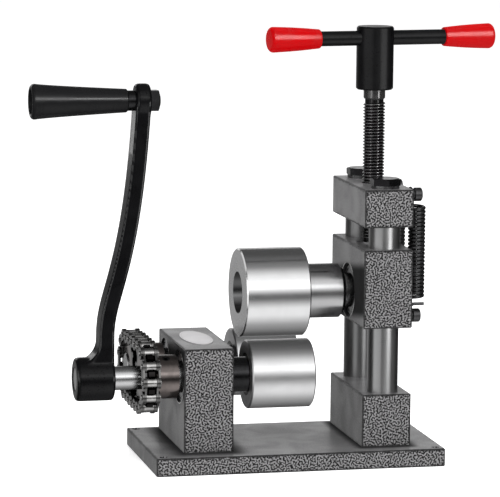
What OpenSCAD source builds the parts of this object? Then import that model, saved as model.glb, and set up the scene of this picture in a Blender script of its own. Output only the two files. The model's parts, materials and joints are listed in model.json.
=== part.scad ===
// Hand-cranked ring bending machine: two chain-driven lower rollers on a bearing block,
// and a free upper roller on a slide that a screw presses down along two columns.
// Millimetres. X runs from the crank to the columns, Y to the back and Z up,
// with the origin under the middle of the base plate.

/* [Base plate] */
// Length of the base plate
base_l = 235; // [225:1:260]
// Depth of the base plate
base_w = 128; // [120:1:150]
// Thickness of the base plate
base_t = 14.5; // [13:0.5:20]
// Diameter of the four bench holes
bench_hole_d = 6.5; // [5:0.5:8]
// Distance of the bench holes from the plate's edges
bench_hole_inset = 6.5; // [6:0.5:9]
// Chamfer on the edges of the plate and the blocks
edge_break = 0.8; // [0.4:0.1:1.5]

/* [Blocks] */
// Width of the bearing block, the foot, the slide and the top block
block_w = 40; // [38:1:48]
// Distance from the middle of the bearing block to the middle of the columns
block_span = 145.2; // [140:1:165]
// How far the blocks sit behind the middle of the base plate
block_back = 3.7; // [0:0.1:6]
// Metal outside a bearing seat or a column bore at the ends of a block
block_wall = 2.5; // [2:0.5:6]
// Height of the shafts above the base plate
shaft_rise = 58.3; // [56:0.1:70]
// Metal over the bearing seats of the bearing block
bearing_cover = 4.2; // [3:0.1:8]
// Height of the foot under the columns
foot_h = 42.5; // [36:0.5:46]
// Metal under the bearing seat of the slide
slide_floor = 3; // [2.5:0.5:8]
// Metal over the bearing seat of the slide
slide_crown = 17.9; // [16:0.1:26]
// Height of the top block
top_block_h = 30.3; // [28:0.1:40]
// Travel of the slide upwards from where it stands
slide_lift = 17; // [10:1:30]
// Length of the blank oval plate on the bearing block
oval_l = 64; // [40:1:80]
// Width of the blank oval plate
oval_w = 24; // [14:1:30]
// Thickness of the blank oval plate
oval_t = 0.6; // [0.4:0.1:1.2]

/* [Columns] */
// Diameter of the two columns
column_d = 25; // [22:1:28]
// Metal between a column bore and the bearing seat of the slide
column_wall = 3.5; // [3:0.5:8]
// Depth of the columns in the foot
column_socket = 30; // [20:1:34]
// Depth of the columns in the top block
column_seat = 10; // [6:1:14]
// Thread diameter of the bolts that hold the top block
top_bolt_d = 14; // [10:1:16]
// Size of the bolt heads across their flats
top_bolt_flats = 22; // [20:1:26]
// Height of the bolt heads
top_bolt_head = 5.6; // [4:0.2:9]
// Thickness of the washers under the bolt heads
top_washer_t = 2.4; // [1.5:0.1:4]

/* [Shafts and bearings] */
// Diameter of the shafts in their bearings
shaft_d = 20; // [18:1:22]
// Diameter of the shafts where the sprockets and the crank sit
shaft_tail_d = 19; // [15:0.5:19.5]
// Outer diameter of the ball bearings
bearing_d = 42; // [40:1:46]
// Width of the ball bearings
bearing_w = 12; // [10:1:14]
// Depth of the bearings below the faces of the bearing block
bearing_recess = 1.5; // [0.5:0.5:3]
// Depth of the left bearing below the face of the slide
slide_recess = 2; // [2:0.5:6]
// Diameter of the bearing balls
ball_d = 7; // [5:0.5:7.5]
// Diameter of the spacers and shoulders that bear on the inner rings
shoulder_d = 28; // [26:1:30]

/* [Rollers] */
// Gap between the two lower rollers
lower_gap = 2.15; // [1:0.05:6]
// Diameter of the upper roller
upper_d = 71.5; // [60:0.5:80]
// Gap between the upper roller and each lower roller
nip = 4.55; // [4.3:0.05:8]
// Length of the lower rollers
lower_l = 51.6; // [42:0.2:56]
// Length of the upper roller
upper_l = 52.6; // [42:0.2:58]
// Distance of the lower rollers from the bearing block
roller_standoff = 14.4; // [12:0.2:20]
// Diameter of the counterbore in the free end of each roller
roller_counterbore_d = 34; // [30:1:40]
// Depth of the counterbore in the lower rollers
lower_counterbore = 16; // [14:1:20]
// Depth of the counterbore in the upper roller
upper_counterbore = 22; // [14:1:26]
// Chamfer on the rims of the rollers
roller_chamfer = 1; // [0.5:0.1:2]
// Diameter of the neck of the upper arbor
neck_d = 44; // [36:1:50]
// Gap between the neck and the slide
neck_gap = 6; // [4:0.5:10]

/* [Chain drive] */
// Pitch of the roller chain
chain_pitch = 12.7; // [12:0.05:14]
// Diameter of the chain's rollers
chain_roller_d = 7.92; // [7:0.02:8.2]
// Width between the inner plates of the chain
chain_inner_w = 7.85; // [6:0.05:9]
// Thickness of the chain's plates
chain_plate_t = 1.5; // [1:0.1:1.8]
// Height of the chain's plates
chain_plate_h = 9.8; // [9:0.1:11]
// Diameter of the chain's pins
chain_pin_d = 3.97; // [3:0.01:4.6]
// Diameter of the sprocket hubs
sprocket_hub_d = 35; // [28:1:36]
// Length of the sprocket hubs
sprocket_hub_l = 20.5; // [14:0.5:24]
// Width left at the tip of a sprocket tooth
tooth_tip = 2; // [1.5:0.1:2.4]
// Lean of the sprockets' set screws towards the front, in degrees
sprocket_screw_lean = 25; // [0:5:40]

/* [Crank] */
// Distance from the shaft to the crank's grip
crank_radius = 220; // [180:1:240]
// Distance from the chain's middle plane to the crank's hub
crank_standoff = 26.5; // [22:0.5:40]
// Diameter of the crank's hub
crank_hub_d = 35; // [32:1:42]
// Length of the crank's hub
crank_hub_l = 30.5; // [26:0.5:36]
// Thickness of the crank's arm
crank_arm_t = 12; // [8:0.2:13]
// Width of the crank's arm
crank_arm_w = 22; // [16:1:26]
// How far the arm bends from its hub towards the blocks
crank_bend = 28.6; // [20:0.2:32]
// Diameter of the eye at the end of the arm
crank_eye_d = 27; // [26:1:34]
// Thickness of the eye
crank_eye_t = 12; // [10:0.5:14]
// Length of the crank's grip
grip_l = 76.2; // [60:0.2:90]
// Largest diameter of the crank's grip
grip_d = 28; // [26:1:32]
// Diameter of the grip where it meets its collar
grip_neck_d = 18.5; // [16:0.5:22]
// Diameter of the spindle that the grip turns on
grip_spindle_d = 10; // [8:0.5:12]

/* [Screw and handle] */
// Thread diameter of the screw
screw_d = 18; // [16:1:20]
// Pitch of the screw
screw_pitch = 2.5; // [2:0.1:3]
// Length of the screw from the slide to the handle's hub
screw_l = 122.8; // [110:0.2:140]
// Diameter of the handle's hub
hub_d = 30; // [28:0.5:36]
// Height of the handle's hub
hub_h = 50.8; // [48:0.2:60]
// Height of the bar above the bottom of the hub
bar_rise = 41.3; // [38:0.1:42]
// Diameter of the handle's bar
bar_d = 12; // [10:0.5:14]
// Distance from the middle of the bar to the far end of each grip
bar_reach = 97; // [90:0.5:115]
// How far the bar is slid through the hub
bar_shift = 5.75; // [-10:0.25:10]
// Angle that the bar is left at
bar_angle = 8; // [-90:1:90]
// Length of the bar's grips
bar_grip_l = 42.8; // [40:0.2:60]
// Diameter of the bar's grips at their outer ends
bar_grip_d = 20.5; // [19:0.5:24]
// Diameter of the bar's grips at their inner ends
bar_grip_neck_d = 15.5; // [15:0.5:19]

/* [Lift springs] */
// Outer diameter of the lift springs
spring_d = 13.8; // [12:0.2:15]
// Diameter of the spring wire
spring_wire_d = 2.6; // [1.6:0.1:2.7]
// Number of curls in each spring
spring_curls = 24; // [16:1:26]
// Distance between the two springs
spring_pitch = 59; // [50:1:64]
// Diameter of the posts that the springs hook on
post_d = 6.5; // [5:0.5:8]
// Length of the posts between the blocks and their heads
post_neck = 6.4; // [5:0.2:8]
// Diameter of the heads of the posts
post_head_d = 11; // [10:0.5:12]
// Height of the heads of the posts
post_head_h = 5.8; // [5:0.2:10]
// Distance of the posts from the ends of their blocks
post_inset = 6.6; // [6:0.2:9]
// Distance from a lower post to the first curl
lower_hook = 15; // [14:0.1:20]
// Distance from the last curl to an upper post
upper_hook = 9.1; // [8:0.1:12]

/* [Clearances] */
// Radial clearance of the slide on its columns
slide_clear = 0.05; // [0.02:0.01:0.1]
// Radial clearance of the grip and the screw's nose
running_clear = 0.06; // [0.02:0.01:0.1]
// Radial clearance between the screw's crests and the top block
thread_clear = 0.1; // [0.05:0.01:0.2]
// Radial clearance of pieces that are fixed to each other
fit_clear = 0.01; // [0.005:0.005:0.02]
// Clearance of the chain in its sprockets
chain_clear = 0.25; // [0.15:0.05:0.35]
// Clearance of the balls in their tracks
ball_clear = 0.1; // [0.05:0.01:0.2]

/* [Hidden] */
$fn = 64;
// Overshoot of a cut past the face that it opens
cut = 1;

// Chain layout: the shafts stand four and a half pitches apart, so the chain has one offset link
sprocket_teeth = 12;
tooth_step = 360 / sprocket_teeth;
run_pitches = 4;
sprocket_r = chain_pitch / (2 * sin(tooth_step / 2));
sprocket_tip_r = chain_pitch * (0.6 + 1 / tan(tooth_step / 2)) / 2;
tooth_mouth = 2 * sprocket_tip_r * sin(tooth_step / 2) - tooth_tip;
tooth_w = chain_inner_w - 0.65;
tooth_bevel = 1.2;
shaft_c = (run_pitches + 0.5) * chain_pitch;
chain_roller_w = chain_inner_w - 0.15;
chain_gap = 0.1;
chain_pin_over = 0.9;
chain_waist = chain_plate_h * 0.76;

// Places of the blocks and the shafts
column_pitch = bearing_d + column_d + 2 * column_wall;
block_d = max(column_pitch + column_d, shaft_c + bearing_d) + 2 * block_wall;
bearing_block_x = -block_span / 2;
column_x = block_span / 2;
front_y = block_back - shaft_c / 2;
rear_y = block_back + shaft_c / 2;
shaft_z = base_t + shaft_rise;
bearing_block_top = shaft_z + bearing_d / 2 + bearing_cover;
foot_top = base_t + foot_h;
lower_d = shaft_c - lower_gap;
upper_z = shaft_z + sqrt(pow((lower_d + upper_d) / 2 + nip, 2) - pow(shaft_c / 2, 2));
slide_bottom = upper_z - bearing_d / 2 - slide_floor;
slide_top = upper_z + bearing_d / 2 + slide_crown;
stop_gap = 1;
top_bottom = slide_top + slide_lift + stop_gap;
top_top = top_bottom + top_block_h;
block_left = bearing_block_x - block_w / 2;
block_right = bearing_block_x + block_w / 2;
slide_left = column_x - block_w / 2;
slide_right = column_x + block_w / 2;

// Bearings: the rings' lands stand either side of the middle of the ball track
track_r = (bearing_d + shaft_d) / 4;
land_half = ball_d * 0.36;
shield_t = 0.8;
shield_inset = 0.4;
shield_gap = 0.3;
ball_count = floor(PI * 2 * track_r / (ball_d * 1.5));
bore_step = 6;
left_seats = [block_left + bearing_recess, block_right - bearing_recess - bearing_w];
slide_seats = [slide_left + slide_recess, slide_right - bearing_recess - bearing_w];
slide_mouth_d = bearing_d + 2;

// Shaft pieces
flange_out = 2.6;
flange_d = shoulder_d - 2;
sprocket_right = block_left - flange_out;
chain_x = sprocket_right - sprocket_hub_l - tooth_w / 2;
roller_x = block_right + roller_standoff + lower_l / 2;
lower_left = roller_x - lower_l / 2;
lower_right = roller_x + lower_l / 2;
upper_left = roller_x - upper_l / 2;
upper_right = roller_x + upper_l / 2;
clamp_gap = 0.5;
washer_t = 3;
washer_d = roller_counterbore_d - 4;
clip_t = 1.2;
clip_d = shaft_d + 6;
clip_groove = 0.8;
arbor_out = 2.4;

// Socket screws
m8_d = 8;
m8_head_d = 13;
m8_head_h = 8;
m8_key = 6;
set_d = 6;
set_key = 3;
screw_bite = 18;
head_play = 0.5;

// Crank
crank_right = chain_x - crank_standoff;
crank_left = crank_right - crank_hub_l;
grip_z = shaft_z + crank_radius;
arm_x = crank_right - crank_arm_t / 2;
eye_x = arm_x + crank_bend;
eye_left = eye_x - crank_eye_t / 2;
eye_right = eye_x + crank_eye_t / 2;
collar_l = 5.7;
collar_d = grip_spindle_d + 6;
nut_h = 7;
nut_flats = grip_spindle_d + 6;
nut_corners = nut_flats * 2 / sqrt(3);
eye_chamfer = 1.5;
grip_play = 0.4;
grip_right = eye_left - collar_l - grip_play;
grip_left = grip_right - grip_l;
grip_recess_d = grip_d - 8;
grip_recess = 9.5;
grip_head_d = grip_spindle_d + 6;
grip_head_h = 5;
arm_fillet_r = 17;

// Screw, thrust cup and handle
cup_d = screw_d + 8;
cup_h = slide_crown * 0.62;
cup_proud = 1;
nose_d = screw_d - 6;
nose_l = 8;
nose_play = 0.3;
thread_depth = screw_pitch * 0.61;
thread_flat = screw_pitch * 0.12;
screw_bottom = slide_top + cup_proud;
plain_l = 7;
plain_d = screw_d - 0.5;
hub_bottom = screw_bottom + screw_l;
tenon_d = screw_d - 4;
tenon_l = 24;
pin_d = 5;
bar_z = hub_bottom + bar_rise;
hub_chamfer = 1.2;
bar_grip_wall = 5;
bar_grip_round = 2.5;

// Springs: the hooks lie in a plane half way along the posts
spring_r = (spring_d - spring_wire_d) / 2;
hook_x = slide_right + post_neck / 2;
spring_x = hook_x + spring_r;
upper_post_z = top_top - post_inset;
lower_post_z = slide_bottom + post_inset;
curl_rings = 8;
wire_sides = 6;
hook_play = 0.5;
hook_r = (post_d + spring_wire_d) / 2 + hook_play;
tail_rise = 10;
tail_bend = 3;
tail_l = 8;
coil_bottom = lower_post_z + lower_hook;
coil_top = upper_post_z - upper_hook;

// Shared shapes

// A solid drawn flat in Y and Z, standing t long from x
module flat_x(x, t) {
    translate([x, 0, 0]) rotate([90, 0, 90]) linear_extrude(height = t) children();
}

// A round bar along X, from x0 to x1
module rod_x(x0, x1, d, y, z) {
    translate([x0, y, z]) rotate([0, 90, 0]) cylinder(d = d, h = x1 - x0);
}

// A turned piece about a line along X, from a profile of [radius, x] points
module turned_x(profile, y, z) {
    translate([0, y, z]) rotate([0, 90, 0]) rotate_extrude() polygon(profile);
}

// A box from corner to corner with every edge chamfered
module chamfered_box(low, high) {
    size = high - low;
    c = edge_break;
    translate(low) intersection() {
        linear_extrude(height = size.z) chamfered_square(size.x, size.y, c);
        translate([0, size.y, 0]) rotate([90, 0, 0]) linear_extrude(height = size.y)
            chamfered_square(size.x, size.z, c);
        rotate([90, 0, 90]) linear_extrude(height = size.x) chamfered_square(size.y, size.z, c);
    }
}

module chamfered_square(a, b, c) {
    polygon([[c, 0], [a - c, 0], [a, c], [a, b - c], [a - c, b], [c, b], [0, b - c], [0, c]]);
}

// A block between two heights over the line of the columns or the bearings
module machine_block(x, z0, z1) {
    chamfered_box([x - block_w / 2, block_back - block_d / 2, z0],
        [x + block_w / 2, block_back + block_d / 2, z1]);
}

// A socket screw standing on the origin: its head up from z = 0, its shank down
module socket_screw(d, head_d, head_h, key, shank) {
    difference() {
        union() {
            translate([0, 0, -shank]) cylinder(d = d, h = shank);
            rotate_extrude() polygon([[0, 0], [head_d / 2, 0], [head_d / 2, head_h - 0.8],
                [head_d / 2 - 0.8, head_h], [0, head_h]]);
        }
        translate([0, 0, head_h * 0.45]) cylinder(d = key * 2 / sqrt(3), h = head_h, $fn = 6);
    }
}

// Both positions in Y of a pair that is symmetric about the blocks
module pair_y(pitch) {
    for (side = [-1, 1]) translate([0, block_back + side * pitch / 2, 0]) children();
}

// A set screw and its hole, down from the top of a hub
// A hole from the shaft's middle line out through a hub, leaning from the top towards the front
module set_screw_hole(x, y, hub_r, lean) {
    translate([x, y, shaft_z]) rotate([lean, 0, 0]) cylinder(d = set_d + 2 * fit_clear, h = hub_r + cut);
}

module set_screw(x, y, hub_r, lean) {
    tail = shaft_tail_d / 2;
    translate([x, y, shaft_z]) rotate([lean, 0, 0]) difference() {
        translate([0, 0, tail]) cylinder(d = set_d, h = hub_r - tail - head_play);
        translate([0, 0, hub_r - head_play - set_key])
            cylinder(d = set_key * 2 / sqrt(3), h = set_key + cut, $fn = 6);
    }
}

// Base plate and blocks

bearing_screw_pitch = block_d * 0.58;
foot_screw_pitch = column_pitch - column_d - m8_head_d;

module base_screw_holes(x, pitch) {
    pair_y(pitch) translate([x, 0, -cut]) {
        cylinder(d = m8_d + 1, h = base_t + 2 * cut);
        cylinder(d = m8_head_d + 1, h = m8_head_h + head_play + cut);
    }
}

module block_screw_holes(x, pitch) {
    pair_y(pitch) translate([x, 0, base_t - cut])
        cylinder(d = m8_d + 2 * fit_clear, h = screw_bite + 2 * cut);
}

module base_screws(x, pitch) {
    pair_y(pitch) translate([x, 0, m8_head_h + head_play]) rotate([180, 0, 0])
        socket_screw(m8_d, m8_head_d, m8_head_h, m8_key, base_t - m8_head_h - head_play + screw_bite);
}

module base_plate() {
    bench_x = base_l / 2 - bench_hole_inset;
    bench_y = base_w / 2 - bench_hole_inset;
    color("dimgray") difference() {
        chamfered_box([-base_l / 2, -base_w / 2, 0], [base_l / 2, base_w / 2, base_t]);
        for (x = [-bench_x, bench_x], y = [-bench_y, bench_y])
            translate([x, y, -cut]) cylinder(d = bench_hole_d, h = base_t + 2 * cut);
        base_screw_holes(bearing_block_x, bearing_screw_pitch);
        base_screw_holes(column_x, foot_screw_pitch);
    }
}

module bearing_block() {
    seat = bearing_w + bearing_recess;
    color("dimgray") difference() {
        machine_block(bearing_block_x, base_t, bearing_block_top);
        for (y = [front_y, rear_y]) {
            rod_x(block_left - cut, block_right + cut, bearing_d - bore_step, y, shaft_z);
            rod_x(block_left - cut, block_left + seat, bearing_d, y, shaft_z);
            rod_x(block_right - seat, block_right + cut, bearing_d, y, shaft_z);
        }
        block_screw_holes(bearing_block_x, bearing_screw_pitch);
    }
}

module bearing_block_screws() color("black") base_screws(bearing_block_x, bearing_screw_pitch);

module oval_plate() {
    points = [for (a = [0 : 7.5 : 359]) [oval_w / 2 * cos(a), oval_l / 2 * sin(a)]];
    color("silver") translate([bearing_block_x, block_back, bearing_block_top])
        linear_extrude(height = oval_t) polygon(points);
}

module foot_block() {
    color("dimgray") difference() {
        machine_block(column_x, base_t, foot_top);
        pair_y(column_pitch) translate([column_x, 0, foot_top - column_socket])
            cylinder(d = column_d + 2 * fit_clear, h = column_socket + cut);
        block_screw_holes(column_x, foot_screw_pitch);
    }
}

module foot_block_screws() color("black") base_screws(column_x, foot_screw_pitch);

bolt_depth = 24;

module column(side) {
    z0 = foot_top - column_socket;
    z1 = top_bottom + column_seat;
    c = edge_break;
    r = column_d / 2;
    color("silver") translate([column_x, block_back + side * column_pitch / 2, 0]) difference() {
        rotate_extrude() polygon([[0, z0], [r - c, z0], [r, z0 + c], [r, z1 - c], [r - c, z1], [0, z1]]);
        translate([0, 0, z1 - bolt_depth - cut])
            cylinder(d = top_bolt_d + 2 * fit_clear, h = bolt_depth + 2 * cut);
    }
}

module front_column() column(-1);

module rear_column() column(1);

module top_block() {
    color("dimgray") difference() {
        machine_block(column_x, top_bottom, top_top);
        pair_y(column_pitch) translate([column_x, 0, top_bottom - cut]) {
            cylinder(d = column_d + 2 * fit_clear, h = column_seat + cut);
            cylinder(d = top_bolt_d + 1, h = top_block_h + 2 * cut);
        }
        translate([column_x, block_back, top_bottom - cut])
            cylinder(d = screw_d + 2 * thread_clear, h = top_block_h + 2 * cut);
        post_holes(upper_post_z);
    }
}

module top_bolts() {
    shank = top_washer_t + top_block_h - column_seat + bolt_depth;
    color("black") pair_y(column_pitch) translate([column_x, 0, top_top + top_washer_t]) {
        translate([0, 0, -shank]) cylinder(d = top_bolt_d, h = shank);
        intersection() {
            rotate(90) cylinder(d = top_bolt_flats * 2 / sqrt(3), h = top_bolt_head, $fn = 6);
            rotate_extrude() polygon([[0, 0], [top_bolt_flats * 0.6, 0],
                [top_bolt_flats * 0.6, top_bolt_head * 0.8],
                [top_bolt_flats * 0.48, top_bolt_head], [0, top_bolt_head]]);
        }
    }
}

module top_washers() {
    color("black") pair_y(column_pitch) translate([column_x, 0, top_top]) difference() {
        cylinder(d = top_bolt_flats + 1, h = top_washer_t);
        translate([0, 0, -cut]) cylinder(d = top_bolt_d + 0.4, h = top_washer_t + 2 * cut);
    }
}

module slide_block() {
    left_seat = slide_recess + bearing_w;
    right_seat = bearing_recess + bearing_w;
    color("dimgray") difference() {
        machine_block(column_x, slide_bottom, slide_top);
        pair_y(column_pitch) translate([column_x, 0, slide_bottom - cut])
            cylinder(d = column_d + 2 * slide_clear, h = slide_top - slide_bottom + 2 * cut);
        rod_x(slide_left - cut, slide_right + cut, bearing_d - bore_step, block_back, upper_z);
        rod_x(slide_left - cut, slide_left + left_seat, bearing_d, block_back, upper_z);
        rod_x(slide_left - cut, slide_left + slide_recess - cut, slide_mouth_d, block_back, upper_z);
        rod_x(slide_right - right_seat, slide_right + cut, bearing_d, block_back, upper_z);
        translate([column_x, block_back, slide_top - cup_h])
            cylinder(d = cup_d + 2 * fit_clear, h = cup_h + cut);
        post_holes(lower_post_z);
    }
}

module thrust_cup() {
    color("silver") translate([column_x, block_back, slide_top - cup_h]) difference() {
        cylinder(d = cup_d, h = cup_h + cup_proud);
        translate([0, 0, cup_h + cup_proud - nose_l - nose_play])
            cylinder(d = nose_d + 2 * running_clear, h = nose_l + nose_play + cut);
    }
}

// Spring posts and lift springs

post_wall = 0.8;
post_bite = block_w / 2 - column_d / 2 - slide_clear - post_wall;

module post_holes(z) {
    pair_y(spring_pitch) translate([slide_right - post_bite - cut, 0, z]) rotate([0, 90, 0])
        cylinder(d = post_d + 2 * fit_clear, h = post_bite + 2 * cut);
}

module spring_posts(z) {
    color("black") pair_y(spring_pitch) translate([slide_right + post_neck, 0, z]) rotate([0, 90, 0])
        socket_screw(post_d, post_head_d, post_head_h, post_head_d / 2, post_neck + post_bite);
}

module upper_spring_posts() spring_posts(upper_post_z);

module lower_spring_posts() spring_posts(lower_post_z);

function unit(v) = v / norm(v);

// The wire's middle line: free tail and lower hook, curls, then the upper hook
lower_hook_path = concat(
    [[hook_x + tail_bend + tail_l, -hook_r, lower_post_z + tail_rise]],
    [for (a = [0 : 22.5 : 90])
        [hook_x + tail_bend * (1 - sin(a)), -hook_r, lower_post_z + tail_rise - tail_bend * (1 - cos(a))]],
    [for (a = [180 : 22.5 : 360]) [hook_x, hook_r * cos(a), lower_post_z + hook_r * sin(a)]],
    [for (a = [0 : 22.5 : 67.5]) [hook_x, hook_r * cos(a), coil_bottom - hook_r + hook_r * sin(a)]]
);
curl_path = [for (i = [0 : spring_curls * curl_rings])
    let (a = 180 + 360 * i / curl_rings)
    [spring_x + spring_r * cos(a), spring_r * sin(a),
        coil_bottom + (coil_top - coil_bottom) * i / (spring_curls * curl_rings)]];
upper_hook_path = concat(
    [for (a = [247.5 : -22.5 : 180]) [hook_x, hook_r * cos(a), coil_top + hook_r + hook_r * sin(a)]],
    [for (a = [180 : -22.5 : -45]) [hook_x, hook_r * cos(a), upper_post_z + hook_r * sin(a)]]
);
spring_path = concat(lower_hook_path, curl_path, upper_hook_path);

// Directions along the path, and a normal carried along it without twist
function path_tangents(path) = [for (i = [0 : len(path) - 1])
    unit(path[min(i + 1, len(path) - 1)] - path[max(i - 1, 0)])];
function carried_normals(tangents) = [
    for (i = 0, n = unit(cross(tangents[0], [0, 1, 0])); i < len(tangents); i = i + 1,
        n = i < len(tangents) ? unit(n - (n * tangents[i]) * tangents[i]) : n) n];

module wire(path, d) {
    tangents = path_tangents(path);
    normals = carried_normals(tangents);
    s = wire_sides;
    last = len(path) - 1;
    points = [for (i = [0 : last], k = [0 : s - 1]) let (a = 360 * k / s)
        path[i] + d / 2 * (cos(a) * normals[i] + sin(a) * cross(tangents[i], normals[i]))];
    sides = [for (i = [0 : last - 1], k = [0 : s - 1])
        let (a = i * s + k, b = i * s + (k + 1) % s)
        each [[a, a + s, b], [b, a + s, b + s]]];
    ends = [for (k = [1 : s - 2]) each [[0, k, k + 1], [last * s, last * s + k + 1, last * s + k]]];
    polyhedron(points, concat(sides, ends));
}

// Least gap between stretches of the wire that aren't neighbours along it
function least_gap(path, d, apart) = min([for (i = [0 : len(path) - 1 - apart])
    min([for (j = [i + apart : len(path) - 1]) norm(path[i] - path[j])])]) - d;
echo(spring_least_gap = least_gap(spring_path, spring_wire_d, curl_rings - 2));

module lift_spring(side) {
    color("black") translate([0, block_back + side * spring_pitch / 2, 0]) wire(spring_path, spring_wire_d);
}

module front_spring() lift_spring(-1);

module rear_spring() lift_spring(1);

// Bearings

module outer_ring(x, y, z) {
    r = bearing_d / 2 - fit_clear;
    land = track_r + land_half;
    shield = track_r - land_half + shield_gap;
    x0 = x + shield_inset;
    x1 = x + bearing_w - shield_inset;
    difference() {
        turned_x([[r, x], [r, x + bearing_w], [land, x + bearing_w], [land, x1], [shield, x1],
            [shield, x1 - shield_t], [land, x1 - shield_t], [land, x0 + shield_t], [shield, x0 + shield_t],
            [shield, x0], [land, x0], [land, x]], y, z);
        ball_track(x, y, z);
    }
}

module inner_ring(x, y, z) {
    difference() {
        rod_x(x, x + bearing_w, 2 * (track_r - land_half), y, z);
        rod_x(x - cut, x + bearing_w + cut, shaft_d + 2 * fit_clear, y, z);
        ball_track(x, y, z);
    }
}

module ball_track(x, y, z) {
    translate([x + bearing_w / 2, y, z]) rotate([0, 90, 0]) rotate_extrude() translate([track_r, 0])
        circle(d = ball_d + 2 * ball_clear);
}

module balls(x, y, z) {
    for (i = [0 : ball_count - 1]) {
        a = 360 * i / ball_count;
        translate([x + bearing_w / 2, y + track_r * cos(a), z + track_r * sin(a)]) sphere(d = ball_d);
    }
}

module block_bearing_rings() {
    color("silver") for (x = left_seats, y = [front_y, rear_y]) outer_ring(x, y, shaft_z);
}

module block_bearing_balls() {
    color("silver") for (x = left_seats, y = [front_y, rear_y]) balls(x, y, shaft_z);
}

module slide_bearing_rings() color("silver") for (x = slide_seats) outer_ring(x, block_back, upper_z);

module slide_bearing_balls() color("silver") for (x = slide_seats) balls(x, block_back, upper_z);

module front_inner_rings() color("silver") for (x = left_seats) inner_ring(x, front_y, shaft_z);

module rear_inner_rings() color("silver") for (x = left_seats) inner_ring(x, rear_y, shaft_z);

module upper_inner_rings() color("silver") for (x = slide_seats) inner_ring(x, block_back, upper_z);

// Chain: round the front sprocket from its top, back along the bottom, round the rear one, and forward

wrap = sprocket_teeth / 2;
chain_points = concat(
    [for (k = [0 : wrap]) let (a = 90 + k * tooth_step)
        [front_y + sprocket_r * cos(a), shaft_z + sprocket_r * sin(a)]],
    [for (k = [1 : run_pitches - 1]) [front_y + k * chain_pitch, shaft_z - sprocket_r]],
    [for (k = [0 : wrap + 1]) let (a = -90 - tooth_step / 2 + k * tooth_step)
        [rear_y + sprocket_r * cos(a), shaft_z + sprocket_r * sin(a)]],
    [for (k = [run_pitches - 1 : -1 : 1]) [front_y + k * chain_pitch, shaft_z + sprocket_r]]
);
link_count = len(chain_points);
// The offset link lies in the bottom run, and links alternate from the one after it
offset_link = wrap + 2;
inner_plate_x = chain_inner_w / 2;
outer_plate_x = inner_plate_x + chain_plate_t + chain_gap;
plate_ends = [for (i = [0 : link_count - 1]) [chain_points[i], chain_points[(i + 1) % link_count]]];

module plate_outline(from, to, share0, share1) {
    along = to - from;
    l = norm(along);
    translate(from) rotate(atan2(along.y, along.x)) difference() {
        union() {
            if (share0 == 0) circle(d = chain_plate_h);
            if (share1 == 1) translate([l, 0]) circle(d = chain_plate_h);
            translate([share0 * l, -chain_waist / 2]) square([(share1 - share0) * l, chain_waist]);
        }
        circle(d = chain_pin_d + 2 * fit_clear);
        translate([l, 0]) circle(d = chain_pin_d + 2 * fit_clear);
    }
}

// A pair of plates, mirrored about the chain's middle plane
module plates(ends, x, t, share0 = 0, share1 = 1) {
    for (start = [chain_x + x, chain_x - x - t])
        flat_x(start, t) plate_outline(ends[0], ends[1], share0, share1);
}

module chain_outer_plates() {
    color("#3a3a3c") for (n = [1 : 2 : link_count - 1])
        plates(plate_ends[(offset_link + n) % link_count], outer_plate_x, chain_plate_t);
}

module chain_inner_plates() {
    color("#48484a") for (n = [2 : 2 : link_count - 1])
        plates(plate_ends[(offset_link + n) % link_count], inner_plate_x, chain_plate_t);
}

module chain_offset_link() {
    ends = plate_ends[offset_link];
    joggle = 0.12;
    color("#48484a") for (start = [chain_x + inner_plate_x, chain_x - outer_plate_x - chain_plate_t]) {
        inner = start > chain_x ? start : start + outer_plate_x - inner_plate_x;
        outer = start > chain_x ? chain_x + outer_plate_x : start;
        flat_x(inner, chain_plate_t) plate_outline(ends[0], ends[1], 0.5 - joggle, 1);
        flat_x(outer, chain_plate_t) plate_outline(ends[0], ends[1], 0, 0.5 + joggle);
        flat_x(start, outer_plate_x - inner_plate_x + chain_plate_t)
            plate_outline(ends[0], ends[1], 0.5 - joggle, 0.5 + joggle);
    }
}

module chain_rollers() {
    color("#5a5a5c") for (p = chain_points) flat_x(chain_x - chain_roller_w / 2, chain_roller_w)
        translate(p) difference() {
            circle(d = chain_roller_d);
            circle(d = chain_pin_d + 2 * fit_clear);
        }
}

module chain_pins() {
    half = outer_plate_x + chain_plate_t + chain_pin_over;
    color("#6a6a6c") for (p = chain_points) rod_x(chain_x - half, chain_x + half, chain_pin_d, p.x, p.y);
}

module tooth_outline() {
    seat = chain_roller_d + 2 * chain_clear;
    difference() {
        circle(r = sprocket_tip_r);
        for (k = [0 : sprocket_teeth - 1]) rotate(k * tooth_step) {
            translate([sprocket_r, 0]) circle(d = seat);
            polygon([[sprocket_r, -seat / 2], [sprocket_tip_r + cut, -tooth_mouth / 2],
                [sprocket_tip_r + cut, tooth_mouth / 2], [sprocket_r, seat / 2]]);
        }
    }
}

module sprocket(y, phase) {
    x0 = chain_x - tooth_w / 2;
    x1 = chain_x + tooth_w / 2;
    r = sprocket_tip_r + cut / 10;
    c = tooth_bevel;
    color("#4a4642") difference() {
        union() {
            intersection() {
                flat_x(x0, tooth_w) translate([y, shaft_z]) rotate(phase) tooth_outline();
                turned_x([[0, x0], [r - 2 * c, x0], [r, x0 + c], [r, x1 - c], [r - 2 * c, x1], [0, x1]],
                    y, shaft_z);
            }
            rod_x(chain_x, sprocket_right, sprocket_hub_d, y, shaft_z);
        }
        rod_x(x0 - cut, sprocket_right + cut, shaft_tail_d + 2 * fit_clear, y, shaft_z);
        set_screw_hole(sprocket_screw_x, y, sprocket_hub_d / 2, sprocket_screw_lean);
    }
}

sprocket_screw_x = sprocket_right - sprocket_hub_l * 0.45;

module front_sprocket() sprocket(front_y, 0);

module rear_sprocket() sprocket(rear_y, tooth_step / 2);

module sprocket_screw(y) {
    color("black") set_screw(sprocket_screw_x, y, sprocket_hub_d / 2, sprocket_screw_lean);
}

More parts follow.
